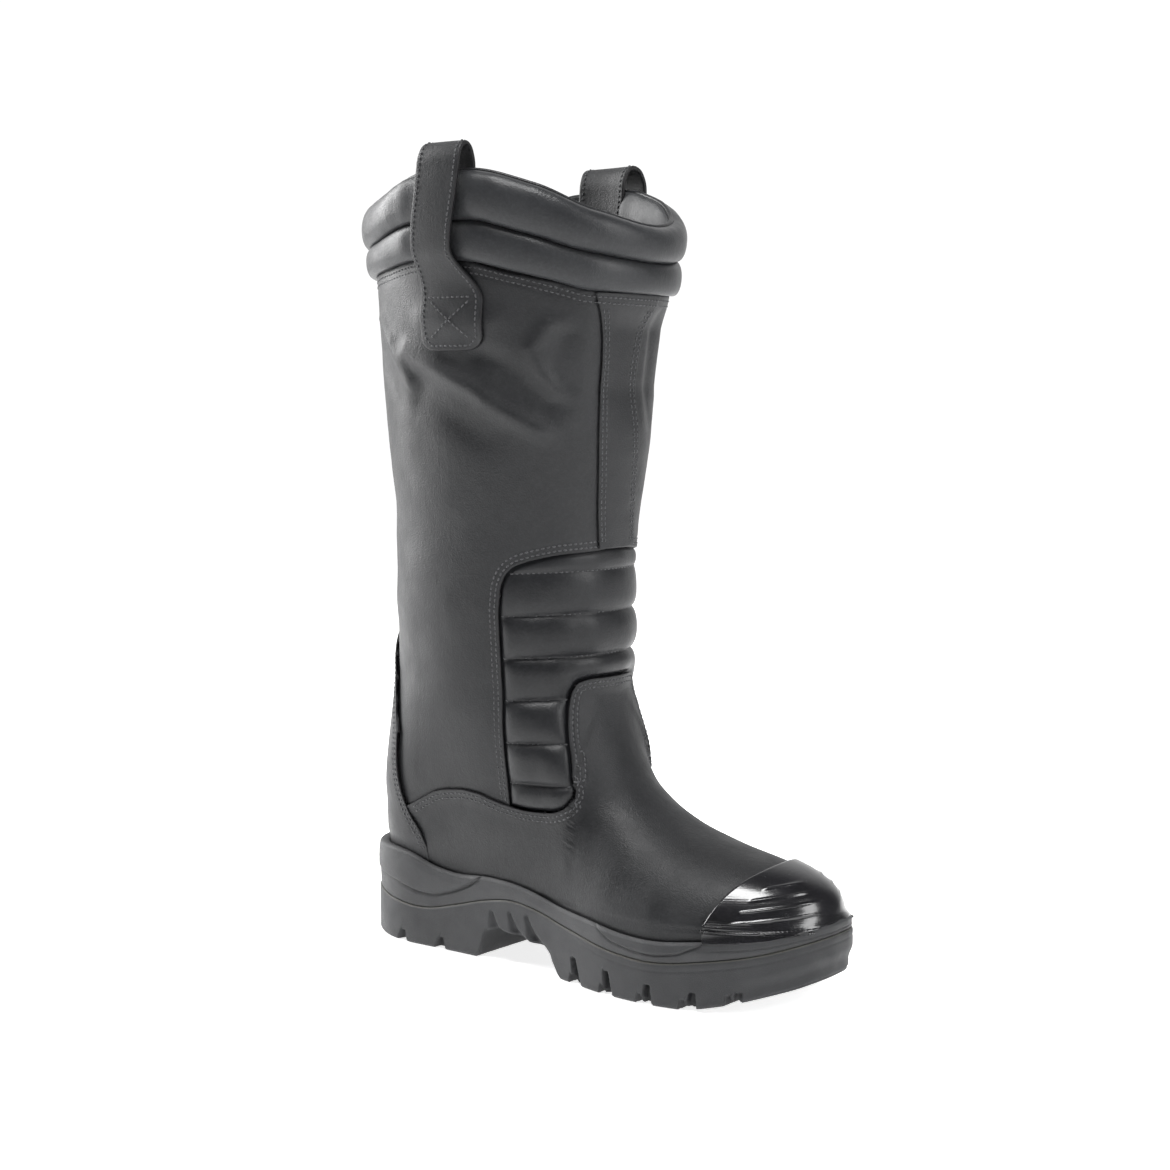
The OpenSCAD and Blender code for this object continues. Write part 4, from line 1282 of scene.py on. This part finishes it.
a = mirrored(np.concatenate([np.linspace(0, 36, 120), np.linspace(36.15, 46.5, 150)]))
top = bumper_top(a)
low = curve(FEATHER, skin_x(a, OUTLINE_Z)) - 0.7
t = np.concatenate([np.linspace(0, 0.96, 86), [0.968, 0.976, 0.984, 0.99, 0.995, 1]])
Z = low + (top - low) * t[:, None]
A = np.broadcast_to(a, Z.shape)
P = skin(A, Z)
bumper_line = Line(skin(a, top))
near = bumper_line.distance(P)
rise = Z - low
flare = (lip(A) - 4.3) * np.exp(-(rise / 3.6) ** 1.3)
flare = flare + 1.7 * np.exp(-((Z - 54) / 8) ** 2) * ramp(42, 12, np.abs(A))
depth = 3.1 + flare - rounded(near, 1.5) * 1.3
for (x0, z0), (x1, z1) in RIBS:
    height = z0 + (P[..., 0] - x0) * (z1 - z0) / (x1 - x0)
    length = ramp(x0 - 1.2, x0 + 1.4, P[..., 0]) * ramp(7, 17, np.abs(A))
    depth = depth + 0.5 * np.exp(-((Z - height) / 0.55) ** 2) * length
scuff_cap = leather_sheet("toe_scuff_cap", [(off(A, Z, depth), 0)], 1.8, GLOSS)
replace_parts(scuff_cap, "toe_bumper")

# ---------------------------------------------------------------- footbed
outline = ring_point(SA[::4], np.full(SIDES // 4, -10.5))
spine_x = np.clip(outline[:, 0], 48, 250)
spine = np.stack([spine_x, centre_y(spine_x, 0) * 0.7 - 2], -1)
rings = []
for r, h in ((0, 0), (0.98, 0), (1, 0.4), (1, 3.6), (0.985, 4.2), (0.96, 4.45), (0.9, 4.5),
             (0.7, 4.3), (0.4, 4.2), (0, 4.2)):
    xy = spine + (outline - spine) * r
    rings.append(at_height(xy, curve(FLOOR, xy[:, 0]) + 2.6 + h))
rings = np.array(rings)
footbed = add_mesh("footbed_felt", place(rings.reshape(-1, 3)),
                   grid_faces(*rings.shape[:2], True), FELT)
weld(footbed, 0.03)
turn_out(footbed)
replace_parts(footbed, "footbed")
on("footbed", footbed)
on("foot", outsole, midsole, scuff_cap)

# ---------------------------------------------------------------- studio
def studio_material(name, colour, rough):
    n = Nodes(name)
    return n.finish(n.blend_colour(n.noise(2, 2), colour, colour), rough)


bpy.ops.mesh.primitive_plane_add(size=60, location=(0, 0, -0.0005))
ground_plane = bpy.context.object
ground_plane.name = "studio_floor"
white = studio_material("studio_white", (0.93, 0.93, 0.93), 0.7)
white.node_tree.nodes["Principled BSDF"].inputs["Emission Color"].default_value = (1, 1, 1, 1)
white.node_tree.nodes["Principled BSDF"].inputs["Emission Strength"].default_value = 0.8
ground_plane.data.materials.append(white)

world = bpy.data.worlds.new("studio")
world.use_nodes = True
tree = world.node_tree
direction = tree.nodes.new("ShaderNodeTexCoord").outputs["Generated"]
facing_wall = tree.nodes.new("ShaderNodeVectorMath")
facing_wall.operation = "DOT_PRODUCT"
facing_wall.inputs[1].default_value = (-0.6, 0.8, 0)
tree.links.new(direction, facing_wall.inputs[0])
wall_light = tree.nodes.new("ShaderNodeMapRange")
wall_light.interpolation_type = "SMOOTHSTEP"
for key, value in (("From Min", 0.3), ("From Max", 0.85), ("To Min", 0.05), ("To Max", 1.05)):
    wall_light.inputs[key].default_value = value
tree.links.new(facing_wall.outputs["Value"], wall_light.inputs["Value"])
backdrop = tree.nodes.new("ShaderNodeMix")
backdrop.inputs["B"].default_value = 1.05
tree.links.new(tree.nodes.new("ShaderNodeLightPath").outputs["Is Camera Ray"], backdrop.inputs["Factor"])
tree.links.new(wall_light.outputs[0], backdrop.inputs["A"])
tree.links.new(backdrop.outputs["Result"], tree.nodes["Background"].inputs["Strength"])
tree.nodes["Background"].inputs["Color"].default_value = (1, 1, 1, 1)
bpy.context.scene.world = world


def softbox(name, place_at, aim, size, power):
    data = bpy.data.lights.new(name, "AREA")
    data.shape = "RECTANGLE"
    data.size, data.size_y = size
    data.energy = power
    light = bpy.data.objects.new(name, data)
    bpy.context.scene.collection.objects.link(light)
    light.location = place_at
    d = np.array(aim, float) - np.array(place_at, float)
    tilt, turn = math.atan2(math.hypot(d[0], d[1]), -d[2]), math.atan2(d[1], d[0])
    light.rotation_euler = (tilt, 0, turn - math.pi / 2)
    return light


softbox("key_left", (-1.75, -0.35, 0.95), (-0.05, 0, 0.2), (0.7, 1.5), 55)
softbox("key_top", (0.2, -0.5, 2.0), (0.05, 0, 0.15), (0.9, 0.6), 38)
softbox("fill_right", (1.7, 0.2, 1.0), (0.05, 0, 0.15), (0.6, 1.2), 20)

camera_data = bpy.data.cameras.new("camera")
camera_data.sensor_width = 36
camera_data.lens = 59.473846
camera_data.clip_start = 0.05
camera = bpy.data.objects.new("camera", camera_data)
bpy.context.scene.collection.objects.link(camera)
camera.location = (*place([810.6, -883.7, 323.1]),)
camera.rotation_euler = (math.radians(90 - 5.5), 0, math.radians(36.9))
bpy.context.scene.camera = camera
bpy.context.scene.view_settings.view_transform = "Standard"
